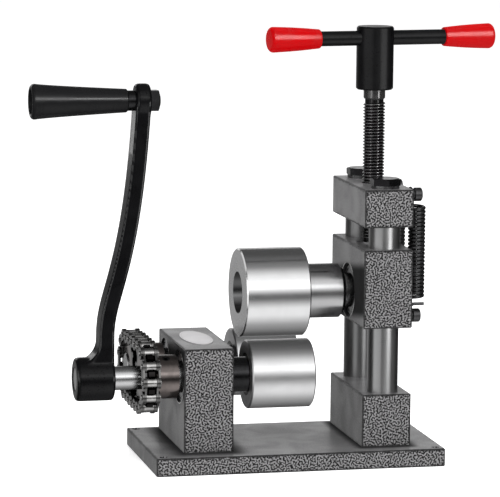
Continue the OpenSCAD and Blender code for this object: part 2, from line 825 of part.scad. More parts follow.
module front_sprocket_screw() sprocket_screw(front_y);

module rear_sprocket_screw() sprocket_screw(rear_y);

// Lower shafts and rollers

shaft_end = lower_right - lower_counterbore - clamp_gap;

module lower_shaft(y, tail_end) {
    r = shaft_d / 2;
    tail = shaft_tail_d / 2;
    flange = flange_d / 2;
    c = 0.6;
    inner = left_seats[0];
    color("silver") difference() {
        turned_x([[0, tail_end], [tail - c, tail_end], [tail, tail_end + c], [tail, sprocket_right],
            [flange, sprocket_right], [flange, inner], [r, inner], [r, shaft_end], [0, shaft_end]],
            y, shaft_z);
        rod_x(shaft_end - screw_bite - cut, shaft_end + cut, m8_d + 2 * fit_clear, y, shaft_z);
    }
}

module front_shaft() lower_shaft(front_y, crank_left + head_play);

module rear_shaft() lower_shaft(rear_y, chain_x - tooth_w / 2 - 2);

module spacer(y) {
    x0 = left_seats[1] + bearing_w;
    color("silver") difference() {
        rod_x(x0, lower_left, shoulder_d, y, shaft_z);
        rod_x(x0 - cut, lower_left + cut, shaft_d + 2 * fit_clear, y, shaft_z);
    }
}

module front_spacer() spacer(front_y);

module rear_spacer() spacer(rear_y);

// A roller with its counterbore at the end that face points to
module roller(x0, x1, d, depth, face, y, z) {
    r = d / 2;
    c = roller_chamfer;
    mouth = face > 0 ? x1 : x0;
    color("gainsboro") difference() {
        turned_x([[0, x0], [r - c, x0], [r, x0 + c], [r, x1 - c], [r - c, x1], [0, x1]], y, z);
        rod_x(x0 - cut, x1 + cut, shaft_d + 2 * fit_clear, y, z);
        rod_x(min(mouth - face * depth, mouth + face * cut), max(mouth - face * depth, mouth + face * cut),
            roller_counterbore_d, y, z);
    }
}

module roller_washer(floor_x, face, y, z) {
    color("dimgray") difference() {
        rod_x(min(floor_x, floor_x + face * washer_t), max(floor_x, floor_x + face * washer_t),
            washer_d, y, z);
        rod_x(floor_x - washer_t - cut, floor_x + washer_t + cut, m8_d + 0.5, y, z);
    }
}

module roller_screw(floor_x, face, y, z) {
    color("black") translate([floor_x + face * washer_t, y, z]) rotate([0, face * 90, 0])
        socket_screw(m8_d, m8_head_d, m8_head_h, m8_key, washer_t + clamp_gap + screw_bite);
}

lower_floor = lower_right - lower_counterbore;
upper_floor = upper_left + upper_counterbore;

module front_roller() roller(lower_left, lower_right, lower_d, lower_counterbore, 1, front_y, shaft_z);

module front_roller_washer() roller_washer(lower_floor, 1, front_y, shaft_z);

module front_roller_screw() roller_screw(lower_floor, 1, front_y, shaft_z);

module rear_roller() roller(lower_left, lower_right, lower_d, lower_counterbore, 1, rear_y, shaft_z);

module rear_roller_washer() roller_washer(lower_floor, 1, rear_y, shaft_z);

module rear_roller_screw() roller_screw(lower_floor, 1, rear_y, shaft_z);

// Upper arbor and roller

clip_x = slide_seats[1] + bearing_w;

module upper_arbor() {
    r = shaft_d / 2;
    neck = neck_d / 2;
    neck_end = slide_left - neck_gap;
    c = 3;
    spigot = upper_floor + clamp_gap;
    groove = r - clip_groove;
    tip = slide_right + arbor_out;
    color("gainsboro") difference() {
        turned_x([[0, spigot], [r, spigot], [r, upper_right], [neck, upper_right], [neck, neck_end - c],
            [neck - c, neck_end], [shoulder_d / 2, neck_end], [shoulder_d / 2, slide_seats[0]],
            [r, slide_seats[0]], [r, clip_x], [groove, clip_x], [groove, clip_x + clip_t],
            [r, clip_x + clip_t], [r, tip], [0, tip]], block_back, upper_z);
        rod_x(spigot - cut, spigot + screw_bite + cut, m8_d + 2 * fit_clear, block_back, upper_z);
    }
}

module upper_roller() roller(upper_left, upper_right, upper_d, upper_counterbore, -1, block_back, upper_z);

module upper_roller_washer() roller_washer(upper_floor, -1, block_back, upper_z);

module upper_roller_screw() roller_screw(upper_floor, -1, block_back, upper_z);

// An open ring in the arbor's groove, behind the right inner ring
module arbor_circlip() {
    color("black") flat_x(clip_x, clip_t - 2 * fit_clear) translate([block_back, upper_z]) difference() {
        circle(d = clip_d);
        circle(d = shaft_d - 2 * clip_groove + 2 * fit_clear);
        translate([-clip_d / 10, -clip_d]) square([clip_d / 5, clip_d]);
    }
}

// Crank

// The arm's middle line leaves the hub upright and curves over to the eye
function arm_curve(t) =
    let (z0 = shaft_z + crank_hub_d, z3 = grip_z, s = 1 - t)
    s * s * s * [arm_x, z0] + 3 * s * s * t * [arm_x, z0 + 0.19 * (z3 - z0)]
        + 3 * s * t * t * [arm_x + 0.74 * crank_bend, z0 + 0.26 * (z3 - z0)] + t * t * t * [eye_x, z3];
arm_steps = 16;
arm_line = concat([[arm_x, shaft_z]], [for (i = [0 : arm_steps]) arm_curve(i / arm_steps)]);
arm_tangents = path_tangents(arm_line);
arm_normals = [for (t = arm_tangents) [t.y, -t.x]];

module arm_outline() {
    half = crank_arm_t / 2;
    last = len(arm_line) - 1;
    polygon(concat(
        [for (i = [0 : last]) arm_line[i] + half * arm_normals[i]],
        [for (i = [last : -1 : 0]) arm_line[i] - half * arm_normals[i]]
    ));
}

// The hollow fillet from the arm's outer side down to the hub
module arm_fillet_outline() {
    r = arm_fillet_r;
    x = arm_x - crank_arm_t / 2;
    z = shaft_z + crank_hub_d / 2 - 4;
    polygon(concat([[x + 1, z - r / 2], [x + 1, z + r], [x, z + r]],
        [for (a = [0 : -15 : -90]) [x - r + r * cos(a), z + r + r * sin(a)]], [[x - r, z - r / 2]]));
}

module crank_arm() {
    c = 1.5;
    r = crank_hub_d / 2;
    e = eye_chamfer;
    eye = crank_eye_d / 2;
    color("#202020") difference() {
        union() {
            turned_x([[0, crank_left], [r - c, crank_left], [r, crank_left + c], [r, crank_right - c],
                [r - c, crank_right], [0, crank_right]], front_y, shaft_z);
            translate([0, front_y + crank_arm_w / 2, 0]) rotate([90, 0, 0])
                linear_extrude(height = crank_arm_w) {
                    arm_outline();
                    arm_fillet_outline();
                }
            turned_x([[0, eye_left], [eye - e, eye_left], [eye, eye_left + e], [eye, eye_right - e],
                [eye - e, eye_right], [0, eye_right]], front_y, grip_z);
        }
        rod_x(crank_left - cut, crank_right + cut, shaft_tail_d + 2 * fit_clear, front_y, shaft_z);
        rod_x(eye_left - cut, eye_right + cut, grip_spindle_d + 2 * fit_clear, front_y, grip_z);
        set_screw_hole(crank_set_x, front_y, crank_hub_d / 2, crank_screw_lean);
        // Spot faces for the spindle's collar and its nut
        rod_x(eye_left - spot_depth, eye_left, collar_d + 2 * spot_clear, front_y, grip_z);
        rod_x(eye_right, eye_right + spot_depth, nut_corners + 2 * spot_clear, front_y, grip_z);
    }
}

crank_set_x = crank_left + crank_hub_l * 0.4;
// The crank's set screw points straight down
crank_screw_lean = 180;
// Depth of the spot faces on the eye, and their room round the collar and the nut
spot_depth = crank_arm_t / 2;
spot_clear = 0.5;

module crank_set_screw() color("black") set_screw(crank_set_x, front_y, crank_hub_d / 2, crank_screw_lean);

grip_head_x = grip_left + grip_recess - grip_play - grip_head_h;

// Shoulder spindle: its head in the grip's recess, its collar against the eye, its thread through the nut
module grip_spindle() {
    r = grip_spindle_d / 2;
    head = grip_head_d / 2;
    tip = eye_right + nut_h + 1;
    color("#303030") difference() {
        turned_x([[0, grip_head_x], [head - 1, grip_head_x], [head, grip_head_x + 1],
            [head, grip_head_x + grip_head_h], [r, grip_head_x + grip_head_h], [r, eye_left - collar_l],
            [collar_d / 2, eye_left - collar_l], [collar_d / 2, eye_left], [r, eye_left], [r, tip], [0, tip]],
            front_y, grip_z);
        translate([grip_head_x - cut, front_y, grip_z]) rotate([0, 90, 0])
            cylinder(d = grip_spindle_d * 0.7, h = grip_head_h * 0.6 + cut, $fn = 6);
    }
}

module grip_nut() {
    color("#303030") translate([eye_right, front_y, grip_z]) rotate([0, 90, 0]) difference() {
        intersection() {
            rotate(30) cylinder(d = nut_corners, h = nut_h, $fn = 6);
            rotate_extrude() polygon([[0, 0], [nut_flats * 0.6, 0], [nut_flats * 0.6, nut_h * 0.85],
                [nut_flats * 0.5, nut_h], [0, nut_h]]);
        }
        translate([0, 0, -cut]) cylinder(d = grip_spindle_d + 2 * fit_clear, h = nut_h + 2 * cut);
    }
}

// Moulded grip: thick at its free end, waisted, and thin at its collar
module crank_grip() {
    r0 = grip_d / 2;
    r1 = grip_neck_d / 2;
    bore = grip_spindle_d / 2 + running_clear;
    round_r = 3;
    swell = [for (t = [0 : 0.1 : 1])
        [r0 + (r1 - r0) * pow(t, 0.8), grip_left + round_r + (grip_l - round_r) * t]];
    rim = [for (a = [90 : -22.5 : 22.5])
        [r0 - round_r + round_r * cos(a), grip_left + round_r - round_r * sin(a)]];
    color("#1c1c1c") turned_x(concat(
        [[grip_recess_d / 2, grip_left + grip_recess], [grip_recess_d / 2, grip_left]],
        rim, swell, [[bore, grip_right], [bore, grip_left + grip_recess]]), front_y, grip_z);
}

// Screw and handle

thread_z0 = screw_bottom + screw_pitch;
thread_turns = floor((screw_l - plain_l - 2 * screw_pitch) / screw_pitch);

// Crests and roots of the thread, one groove to a turn
module lead_screw() {
    r = screw_d / 2;
    root = r - thread_depth;
    half = (screw_pitch - thread_flat) / 2;
    grooves = [for (i = [0 : thread_turns - 1]) let (z = thread_z0 + i * screw_pitch)
        each [[r, z], [root, z + half], [r, z + 2 * half]]];
    plain_z = thread_z0 + thread_turns * screw_pitch;
    color("#2a2a2c") translate([column_x, block_back, 0]) difference() {
        rotate_extrude() polygon(concat(
            [[0, screw_bottom - nose_l], [nose_d / 2 - 1, screw_bottom - nose_l],
                [nose_d / 2, screw_bottom - nose_l + 1], [nose_d / 2, screw_bottom], [root, screw_bottom]],
            [[r, screw_bottom + screw_pitch / 2]], grooves,
            [[r, plain_z], [plain_d / 2, plain_z], [plain_d / 2, hub_bottom], [tenon_d / 2, hub_bottom],
                [tenon_d / 2, hub_bottom + tenon_l], [0, hub_bottom + tenon_l]]));
        hub_pin_hole();
    }
}

module hub_pin_hole() {
    translate([0, 0, hub_bottom + tenon_l / 2]) rotate([0, 0, bar_angle]) rotate([-90, 0, 0])
        cylinder(d = pin_d + 2 * fit_clear, h = hub_d);
}

module handle_hub() {
    r = hub_d / 2;
    c = hub_chamfer;
    z0 = hub_bottom;
    z1 = hub_bottom + hub_h;
    color("#222224") translate([column_x, block_back, 0]) difference() {
        rotate_extrude() polygon([[0, z0], [r - c, z0], [r, z0 + c], [r, z1 - c], [r - c, z1], [0, z1]]);
        translate([0, 0, z0 - cut]) cylinder(d = tenon_d + 2 * fit_clear, h = tenon_l + fit_clear + cut);
        translate([0, 0, bar_z]) rotate([0, 90, bar_angle])
            cylinder(d = bar_d + 2 * fit_clear, h = 2 * hub_d, center = true);
        hub_pin_hole();
    }
}

module hub_pin() {
    color("silver") translate([column_x, block_back, hub_bottom + tenon_l / 2]) rotate([0, 0, bar_angle])
        rotate([-90, 0, 0]) cylinder(d = pin_d, h = hub_d / 2 - head_play);
}

// What is drawn along +X here lies along the handle's bar
module along_bar() {
    translate([column_x, block_back, bar_z]) rotate([0, 0, bar_angle])
        translate([bar_shift, 0, 0]) children();
}

module handle_bar() {
    half = bar_reach - bar_grip_wall;
    color("#222224") along_bar() rod_x(-half, half, bar_d, 0, 0);
}

module bar_grip() {
    inner = bar_reach - bar_grip_l;
    r0 = bar_grip_neck_d / 2;
    r1 = bar_grip_d / 2;
    bore = bar_d / 2 + fit_clear;
    c = bar_grip_round;
    nose = [for (a = [0 : 22.5 : 90]) [r1 - c + c * cos(a), bar_reach - c + c * sin(a)]];
    turned_x(concat([[bore, inner], [r0, inner]], nose,
        [[0, bar_reach], [0, bar_reach - bar_grip_wall], [bore, bar_reach - bar_grip_wall]]), 0, 0);
}

module handle_grips() color("#c8141a") along_bar() for (turn = [0, 180]) rotate([0, 0, turn]) bar_grip();

base_plate();
bearing_block();
bearing_block_screws();
oval_plate();
foot_block();
foot_block_screws();
front_column();
rear_column();
top_block();
top_bolts();
top_washers();
upper_spring_posts();
front_spring();
rear_spring();
block_bearing_rings();
block_bearing_balls();
chain_outer_plates();
chain_inner_plates();
chain_offset_link();
chain_rollers();
chain_pins();
front_shaft();
front_sprocket();
front_sprocket_screw();
front_inner_rings();
front_spacer();
front_roller();
front_roller_washer();
front_roller_screw();
crank_arm();
crank_set_screw();
grip_spindle();
grip_nut();
crank_grip();
rear_shaft();
rear_sprocket();
rear_sprocket_screw();
rear_inner_rings();
rear_spacer();
rear_roller();
rear_roller_washer();
rear_roller_screw();
slide_block();
lower_spring_posts();
thrust_cup();
slide_bearing_rings();
slide_bearing_balls();
upper_arbor();
upper_inner_rings();
upper_roller();
upper_roller_washer();
upper_roller_screw();
arbor_circlip();
lead_screw();
handle_hub();
hub_pin();
handle_bar();
handle_grips();
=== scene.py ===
"""Dress the hand-cranked ring bending machine and set it in a plain studio.

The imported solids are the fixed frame. The wound, threaded and moulded pieces are modelled here in their
place, and every solid that stays gets a procedural finish: hammered paint, turned and ground steel, black
oxide, oiled chain, plastics.
"""

import json
import logging
import math
from dataclasses import dataclass, field
from enum import Enum
from typing import Iterable, Sequence, Union

import bmesh
import bpy
from mathutils import Matrix, Vector


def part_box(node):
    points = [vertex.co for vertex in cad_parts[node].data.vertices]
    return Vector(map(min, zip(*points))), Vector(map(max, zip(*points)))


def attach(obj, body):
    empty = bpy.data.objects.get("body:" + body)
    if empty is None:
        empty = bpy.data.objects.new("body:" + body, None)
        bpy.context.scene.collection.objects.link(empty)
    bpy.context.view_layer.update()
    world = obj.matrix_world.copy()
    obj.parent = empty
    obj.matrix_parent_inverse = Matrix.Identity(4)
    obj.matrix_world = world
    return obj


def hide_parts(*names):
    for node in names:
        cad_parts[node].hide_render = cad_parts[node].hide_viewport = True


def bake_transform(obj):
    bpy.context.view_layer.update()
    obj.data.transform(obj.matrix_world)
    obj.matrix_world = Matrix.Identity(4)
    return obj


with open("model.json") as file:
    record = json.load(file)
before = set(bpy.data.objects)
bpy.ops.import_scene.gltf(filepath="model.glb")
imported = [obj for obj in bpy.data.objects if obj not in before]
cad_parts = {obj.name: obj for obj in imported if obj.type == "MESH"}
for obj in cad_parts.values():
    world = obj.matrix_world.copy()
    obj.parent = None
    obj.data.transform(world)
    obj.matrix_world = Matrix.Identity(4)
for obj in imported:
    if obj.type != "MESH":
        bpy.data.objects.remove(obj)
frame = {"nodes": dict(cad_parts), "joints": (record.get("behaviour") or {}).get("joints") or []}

LOG = logging.getLogger("ring_bender")
MM = 0.001
TOOL_MARK = 0.04 * MM
ALONG_X, ALONG_Y, UP = Vector((1, 0, 0)), Vector((0, 1, 0)), Vector((0, 0, 1))
Socket = bpy.types.NodeSocket
Value = Union[float, Sequence[float], Socket]
Colour = tuple[float, float, float]
Profile = list[tuple[float, float]]


class Body(str, Enum):
    """The rigid bodies that new pieces ride on."""

    FRAME = "frame"
    FRONT_DRIVE = "front_drive"
    GRIP = "grip"
    CARRIAGE = "carriage"
    SCREW = "screw"


class Slot(str, Enum):
    """The names of the record's material slots; no piece here takes one."""

    SPRING = "spring_wire"
    CRANK = "gloss_black"
    CRANK_GRIP = "grip_plastic"
    THREAD = "screw_thread"
    RED_GRIP = "red_plastic"


class Lathe(Enum):
    """The line that a turned or ground piece was spun about."""

    ALONG_X = "X"
    ALONG_Z = "Z"


def joint_place(name: str) -> Vector:
    """Give the point that a joint turns about.

    Args:
        name: The joint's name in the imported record.

    Returns:
        The point in metres.
    """
    return Vector(next(joint["pos_m"] for joint in frame["joints"] if joint["name"] == name))


def scaled(tint: Colour, share: float) -> Colour:
    """Give a lighter or darker tint."""
    return tuple(share * part for part in tint)


class Graph:
    """Adds and links the nodes of one shader tree."""

    def __init__(self, tree: bpy.types.NodeTree) -> None:
        """Keep the tree that nodes are added to."""
        self.tree = tree

    def node(self, kind: str, **settings: object) -> bpy.types.Node:
        """Add a node.

        Args:
            kind: The node's type, without its ShaderNode prefix.
            settings: Attributes of the node.

        Returns:
            The new node.
        """
        made = self.tree.nodes.new("ShaderNode" + kind)
        for name, value in settings.items():
            setattr(made, name, value)
        return made

    def feed(self, socket: Socket, value: Value) -> None:
        """Link a socket to another one, or set its own value.

        Args:
            socket: The input that is fed.
            value: The socket that it follows or its own value, where a colour may leave out its alpha.
        """
        if isinstance(value, Socket):
            self.tree.links.new(value, socket)
        elif isinstance(value, (int, float)):
            socket.default_value = value
        else:
            numbers = list(value)
            socket.default_value = numbers + [1.0] * (len(socket.default_value) - len(numbers))

    def fed(
        self, kind: str, inputs: dict[Union[int, str], Value], **settings: object
    ) -> bpy.types.NodeOutputs:
        """Add a node and feed some of its inputs.

        Args:
            kind: The node's type, without its ShaderNode prefix.
            inputs: A value or a socket for each input, by number or name.
            settings: Attributes of the node.

        Returns:
            The node's outputs.
        """
        made = self.node(kind, **settings)
        for key, value in inputs.items():
            self.feed(made.inputs[key], value)
        return made.outputs

    def math(self, operation: str, *values: Value) -> Socket:
        """Work out a number from one, two or three numbers."""
        return self.fed("Math", dict(enumerate(values)), operation=operation)[0]

    def plus(self, first: Value, second: Value) -> Socket:
        """Add two numbers."""
        return self.math("ADD", first, second)

    def minus(self, first: Value, second: Value) -> Socket:
        """Take the second number from the first."""
        return self.math("SUBTRACT", first, second)

    def times(self, first: Value, second: Value) -> Socket:
        """Multiply two numbers."""
        return self.math("MULTIPLY", first, second)

    def uneven(self, share: Value, middle: float, spread: float) -> Socket:
        """Vary a number about its middle by a share from 0 to 1."""
        return self.plus(self.times(share, spread), middle - spread / 2)

    def vector(self, operation: str, *values: Value) -> Socket:
        """Work out a vector from vectors, or a number where it is a length."""
        made = self.fed("VectorMath", dict(enumerate(values)), operation=operation)
        return made["Value" if operation == "LENGTH" else "Vector"]

    def split(self, vector: Value) -> list[Socket]:
        """Give a vector's three parts."""
        return list(self.fed("SeparateXYZ", {0: vector}))

    def join(self, x: Value, y: Value, z: Value) -> Socket:
        """Make a vector of three numbers."""
        return self.fed("CombineXYZ", {0: x, 1: y, 2: z})[0]

    def noise(self, place: Value, scale: Value, detail: float = 2.0, distortion: float = 0.0) -> Socket:
        """Give a smooth random value that changes over space."""
        inputs = {"Vector": place, "Scale": scale, "Detail": detail, "Distortion": distortion}
        return self.fed("TexNoise", inputs)[0]

    def span(self, value: Value, low: Value, high: Value, start: float = 0.0, end: float = 1.0) -> Socket:
        """Map a value between two limits smoothly to another pair of limits."""
        inputs = {"Value": value, "From Min": low, "From Max": high, "To Min": start, "To Max": end}
        return self.fed("MapRange", inputs, interpolation_type="SMOOTHSTEP")[0]

    def mix(self, share: Value, first: Value, second: Value) -> Socket:
        """Blend two colours."""
        return self.fed("Mix", {0: share, 6: first, 7: second}, data_type="RGBA")[2]

    def ramp(self, value: Value, stops: Iterable[tuple[float, float]]) -> Socket:
        """Give a grey for a value.

        Args:
            value: The value, from 0 to 1.
            stops: Pairs of a value and its grey, in order.

        Returns:
            The grey's socket.
        """
        made = self.node("ValToRGB")
        points = made.color_ramp.elements
        while len(points) > 1:
            points.remove(points[-1])
        for index, (place, grey) in enumerate(stops):
            point = points[0] if index == 0 else points.new(place)
            point.position = place
            point.color = (grey, grey, grey, 1.0)
        self.feed(made.inputs[0], value)
        return made.outputs[0]

    def bump(self, height: Value, strength: float, depth: float) -> Socket:
        """Turn a height into a normal.

        Args:
            height: The height's socket, from 0 to 1.
            strength: How strongly the normal leans.
            depth: The full height in metres.

        Returns:
            The normal's socket.
        """
        return self.fed("Bump", {"Strength": strength, "Distance": depth, "Height": height})[0]

    def place(self) -> Socket:
        """Give the piece's own coordinates, in metres."""
        return self.node("TexCoord").outputs["Object"]

    def group(self, tree: bpy.types.NodeTree, **inputs: Value) -> bpy.types.NodeOutputs:
        """Place a shared effect with its own values.

        Args:
            tree: The effect's node group.
            inputs: A value or a socket for each input, by name.

        Returns:
            The group's outputs.
        """
        return self.fed("Group", inputs, node_tree=tree)


class Effects:
    """The shared effects, each a node group that is built once."""

    def __init__(self) -> None:
        """Build the groups."""
        self.veins = self._veins()
        self.rings = {lathe: self._rings(lathe) for lathe in Lathe}
        self.dark_edges = self._dark_edges()
        self.smudges = self._smudges()

    @staticmethod
    def _start(
        name: str, inputs: dict[str, str], outputs: Iterable[str]
    ) -> tuple[Graph, bpy.types.NodeOutputs, bpy.types.Node]:
        """Make an empty group.

        Args:
            name: The group's name.
            inputs: Each input's name and kind of socket.
            outputs: The names of the outputs, which are all numbers.

        Returns:
            The group's graph, its input sockets, and the node that takes its outputs.
        """
        tree = bpy.data.node_groups.new(name, "ShaderNodeTree")
        for socket, kind in inputs.items():
            tree.interface.new_socket(socket, in_out="INPUT", socket_type="NodeSocket" + kind)
        for socket in outputs:
            tree.interface.new_socket(socket, in_out="OUTPUT", socket_type="NodeSocketFloat")
        return Graph(tree), tree.nodes.new("NodeGroupInput").outputs, tree.nodes.new("NodeGroupOutput")

    def _veins(self) -> bpy.types.NodeTree:
        """Build the winding ridges of hammered paint, laid flat on each side of a block.

        Returns:
            The group, with the veins' tone and height.
        """
        g, given, made = self._start(
            "hammered_veins", {"Vector": "Vector", "Normal": "Vector", "Scale": "Float"}, ("Vein", "Height")
        )
        x, y, z = g.split(given["Vector"])
        lean_x, _, lean_z = g.split(g.vector("ABSOLUTE", given["Normal"]))
        on_side, on_top = (g.math("GREATER_THAN", lean, 0.7) for lean in (lean_x, lean_z))
        across = g.plus(x, g.times(g.minus(y, x), on_side))
        upward = g.plus(z, g.times(g.minus(y, z), on_top))
        flat = g.join(across, upward, 0.0)
        inputs = {"Vector": flat, "Scale": given["Scale"], "Frequency": 1.35, "Anisotropy": 0.0}
        phase = g.fed("TexGabor", inputs, gabor_type="2D")["Phase"]
        wave = g.math("SINE", g.times(phase, 2 * math.pi))
        fine = g.minus(g.noise(given["Vector"], g.times(given["Scale"], 2.4), detail=1.0), 0.5)
        broad = g.noise(given["Vector"], g.times(given["Scale"], 0.8), detail=1.0)
        level = g.plus(g.times(wave, g.span(broad, 0.3, 0.7, 0.5, 1.0)), g.times(fine, 1.5))
        g.feed(made.inputs["Vein"], g.span(level, -0.7, 0.95))
        g.feed(made.inputs["Height"], g.span(level, -1.0, 1.0))
        return g.tree

    def _rings(self, lathe: Lathe) -> bpy.types.NodeTree:
        """Build the fine rings that a lathe leaves round a line, on body and end faces alike.

        Args:
            lathe: The line that the piece was turned about.

        Returns:
            The group, with the rings, coarser bands and the distance from the line.
        """
        g, given, made = self._start(
            f"turned_rings_{lathe.value}",
            {"Vector": "Vector", "Centre": "Vector"},
            ("Rings", "Bands", "Radius"),
        )
        x, y, z = g.split(g.vector("SUBTRACT", given["Vector"], given["Centre"]))
        along, across = (x, (y, z)) if lathe is Lathe.ALONG_X else (z, (x, y))
        radius = g.math("SQRT", g.plus(*(g.times(part, part) for part in across)))
        place = g.join(along, radius, 0.0)
        g.feed(made.inputs["Rings"], g.noise(place, 5200.0, detail=3.0))
        g.feed(made.inputs["Bands"], g.noise(place, 420.0, detail=1.0))
        g.feed(made.inputs["Radius"], radius)
        return g.tree

    def _dark_edges(self) -> bpy.types.NodeTree:
        """Build a mask of the darkened edges of a square block between two corners, a band of painted shade
        along every edge.

        Returns:
            The group, with the edges' mask.
        """
        inputs = {"Vector": "Vector", "Low": "Vector", "High": "Vector", "Width": "Float"}
        g, given, made = self._start("dark_edges", inputs, ("Edge",))
        inner = g.vector("MINIMUM", g.vector("SUBTRACT", given["Vector"], given["Low"]),
                         g.vector("SUBTRACT", given["High"], given["Vector"]))
        x, y, z = g.split(inner)
        least = g.math("MINIMUM", g.math("MINIMUM", x, y), z)
        most = g.math("MAXIMUM", g.math("MAXIMUM", x, y), z)
        second = g.minus(g.minus(g.plus(g.plus(x, y), z), least), most)
        ragged = g.noise(given["Vector"], 240.0, detail=4.0)
        reach = g.times(given["Width"], g.span(ragged, 0.3, 0.7, 0.6, 1.4))
        g.feed(made.inputs["Edge"], g.minus(1.0, g.span(g.math("DIVIDE", second, reach), 0.35, 1.0)))
        return g.tree

    def _smudges(self) -> bpy.types.NodeTree:
        """Build the uneven sheen of handled and oiled surfaces.

        Returns:
            The group, with broad smudges and fine specks.
        """
        g, given, made = self._start("smudges", {"Vector": "Vector", "Scale": "Float"}, ("Smudge", "Speck"))
        broad = g.noise(given["Vector"], given["Scale"], detail=4.0, distortion=0.6)
        g.feed(made.inputs["Smudge"], g.span(broad, 0.3, 0.7))
        fine = g.noise(given["Vector"], g.times(given["Scale"], 14.0), detail=3.0)
        g.feed(made.inputs["Speck"], g.span(fine, 0.56, 0.72))
        return g.tree


EFFECTS = Effects()


def start_material(name: str, **constants: Value) -> tuple[bpy.types.Material, Graph, bpy.types.NodeInputs]:
    """Make a material whose shader has plain values to begin with.

    Args:
        name: The material's name.
        constants: Values for the shader's sockets, with _ for a space.

    Returns:
        The material, its graph and the shader's inputs.
    """
    made = bpy.data.materials.new(name)
    made.use_nodes = True
    graph = Graph(made.node_tree)
    inputs = made.node_tree.nodes["Principled BSDF"].inputs
    for socket, value in constants.items():
        graph.feed(inputs[socket.replace("_", " ")], value)
    return made, graph, inputs


@dataclass(frozen=True)
class HammeredPaint:
    """Grey hammered paint on a block: winding veins on front, back and right, smoother paint elsewhere."""

    low: Vector
    high: Vector
    # painted shade and reflection: the height band on a block's left side that turns dark round the bores
    shade_band: tuple[float, float] = (-1.0, -0.9)
    mouths: tuple[tuple[Vector, float], ...] = ()
    seats: tuple[tuple[Vector, Vector, float], ...] = ()
    vein_scale: float = 330.0
    # the near-black ground and pale ridges are partly the hammered pattern and partly its painted reflection
    ridge: Colour = (0.368, 0.363, 0.37)
    ground: Colour = (0.008, 0.0078, 0.008)
    plain: Colour = (0.29, 0.287, 0.292)
    # painted shade: the near-black colour laid along every edge, standing in for edge shade and contact
    # shadows
    edge: Colour = (0.012, 0.012, 0.0125)
    bore_rim_highlight: Colour = (0.85, 0.85, 0.85)
    inner_bore_shade: Colour = (0.035, 0.035, 0.036)
    faintness: float = 0.2
    low_zone: tuple[float, float] = (20 * MM, 160 * MM)
    low_shade: float = 0.55
    shade_slope: float = 0.14
    shade_fade: float = 8 * MM
    shade_share: float = 0.95
    seat_shade: float = 0.93
    rim_width: float = 0.8 * MM
    bore_play: float = 0.1 * MM
    edge_width: float = 2.1 * MM
    edge_shade: float = 0.85
    roughness: float = 0.32
    coat: float = 0.15
    relief: float = 0.09 * MM

    def _painted_shade(self, g: Graph, place: Socket, left: Socket, upward: Socket) -> Socket:
        """Mask the painted shade and reflection round the bores, and the painted contact shadow at the feet
        of blocks that stand on top.

        Args:
            g: The material's graph.
            place: The point's place.
            left: 1 on the block's left side.
            upward: How far the face looks up.

        Returns:
            The mask.
        """
        _, depth, height = g.split(place)
        if self.mouths:
            height = g.plus(height, g.times(g.minus(depth, self.mouths[0][0].y), self.shade_slope))
        under, over = self.shade_band
        rising = g.span(height, under, under + self.shade_fade)
        painted_dark = g.times(g.times(rising, g.span(height, over - self.shade_fade, over, 1.0, 0.0)), left)
        # painted contact shadow: the plate's top darkens towards the foot of each block that stands on it
        for low, high, reach in self.seats:
            flat = g.vector("MULTIPLY", g.vector("SUBTRACT", place, (low + high) / 2), (1.0, 1.0, 0.0))
            outside = g.vector("SUBTRACT", g.vector("ABSOLUTE", flat), (high - low) / 2)
            away = g.vector("LENGTH", g.vector("MAXIMUM", outside, (0.0, 0.0, 0.0)))
            near = g.span(away, 0.0, reach, self.seat_shade, 0.0)
            painted_dark = g.math("MAXIMUM", painted_dark, g.times(near, g.math("GREATER_THAN", upward, 0.8)))
        return painted_dark

    def _bores(self, g: Graph, place: Socket, paint: Socket, rubbed: Socket) -> Socket:
        """Paint a highlight on the rims of the bores, and painted shade inside them.

        Args:
            g: The material's graph.
            place: The point's place.
            paint: The paint so far.
            rubbed: Where the painted rim highlight shows, in random patches.

        Returns:
            The paint with the bores.
        """
        for centre, radius in self.mouths:
            flat = g.vector("MULTIPLY", g.vector("SUBTRACT", place, centre), (0.0, 1.0, 1.0))
            away = g.minus(g.vector("LENGTH", flat), radius)
            # painted highlight on the bore's rim, and painted shade inside the bore
            rim = g.times(g.math("LESS_THAN", away, self.rim_width), rubbed)
            paint = g.mix(rim, paint, self.bore_rim_highlight)
            paint = g.mix(g.math("LESS_THAN", away, self.bore_play), paint, self.inner_bore_shade)
        return paint

    def material(self, name: str) -> bpy.types.Material:
        """Make the paint for one block.

        Args:
            name: The block's name.

        Returns:
            The material.
        """
        made, g, shader = start_material(
            f"hammered_paint_{name}", Metallic=0.55, Coat_Roughness=0.2, Coat_IOR=1.45
        )
        place, normal = g.place(), g.node("TexCoord").outputs["Normal"]
        right, across, upward = g.split(normal)
        left = g.math("GREATER_THAN", g.times(right, -1.0), 0.8)
        # painted reflection: the veins show strongly on front, back and right only, and the left sides and
        # top get plainer paint
        veined = g.span(g.math("MAXIMUM", right, g.math("ABSOLUTE", across)), 0.6, 0.8)
        veins = g.group(EFFECTS.veins, Vector=place, Normal=normal, Scale=self.vein_scale)
        edges = g.group(EFFECTS.dark_edges, Vector=place, Low=self.low, High=self.high, Width=self.edge_width)
        edge = edges["Edge"]
        smudge = g.group(EFFECTS.smudges, Vector=place, Scale=38.0)["Smudge"]
        faint = g.times(g.plus(g.times(smudge, 1.6), g.times(veins["Vein"], 1.8)), self.faintness)
        # painted shade: the left sides grow darker low down
        painted_low_shade = g.times(left, g.span(g.split(place)[2], *self.low_zone, self.low_shade, 0.0))
        smooth = g.mix(g.plus(faint, painted_low_shade), self.plain, scaled(self.plain, 0.45))
        paint = g.mix(veined, smooth, g.mix(veins["Vein"], self.ground, self.ridge))
        painted_dark = self._painted_shade(g, place, left, upward)
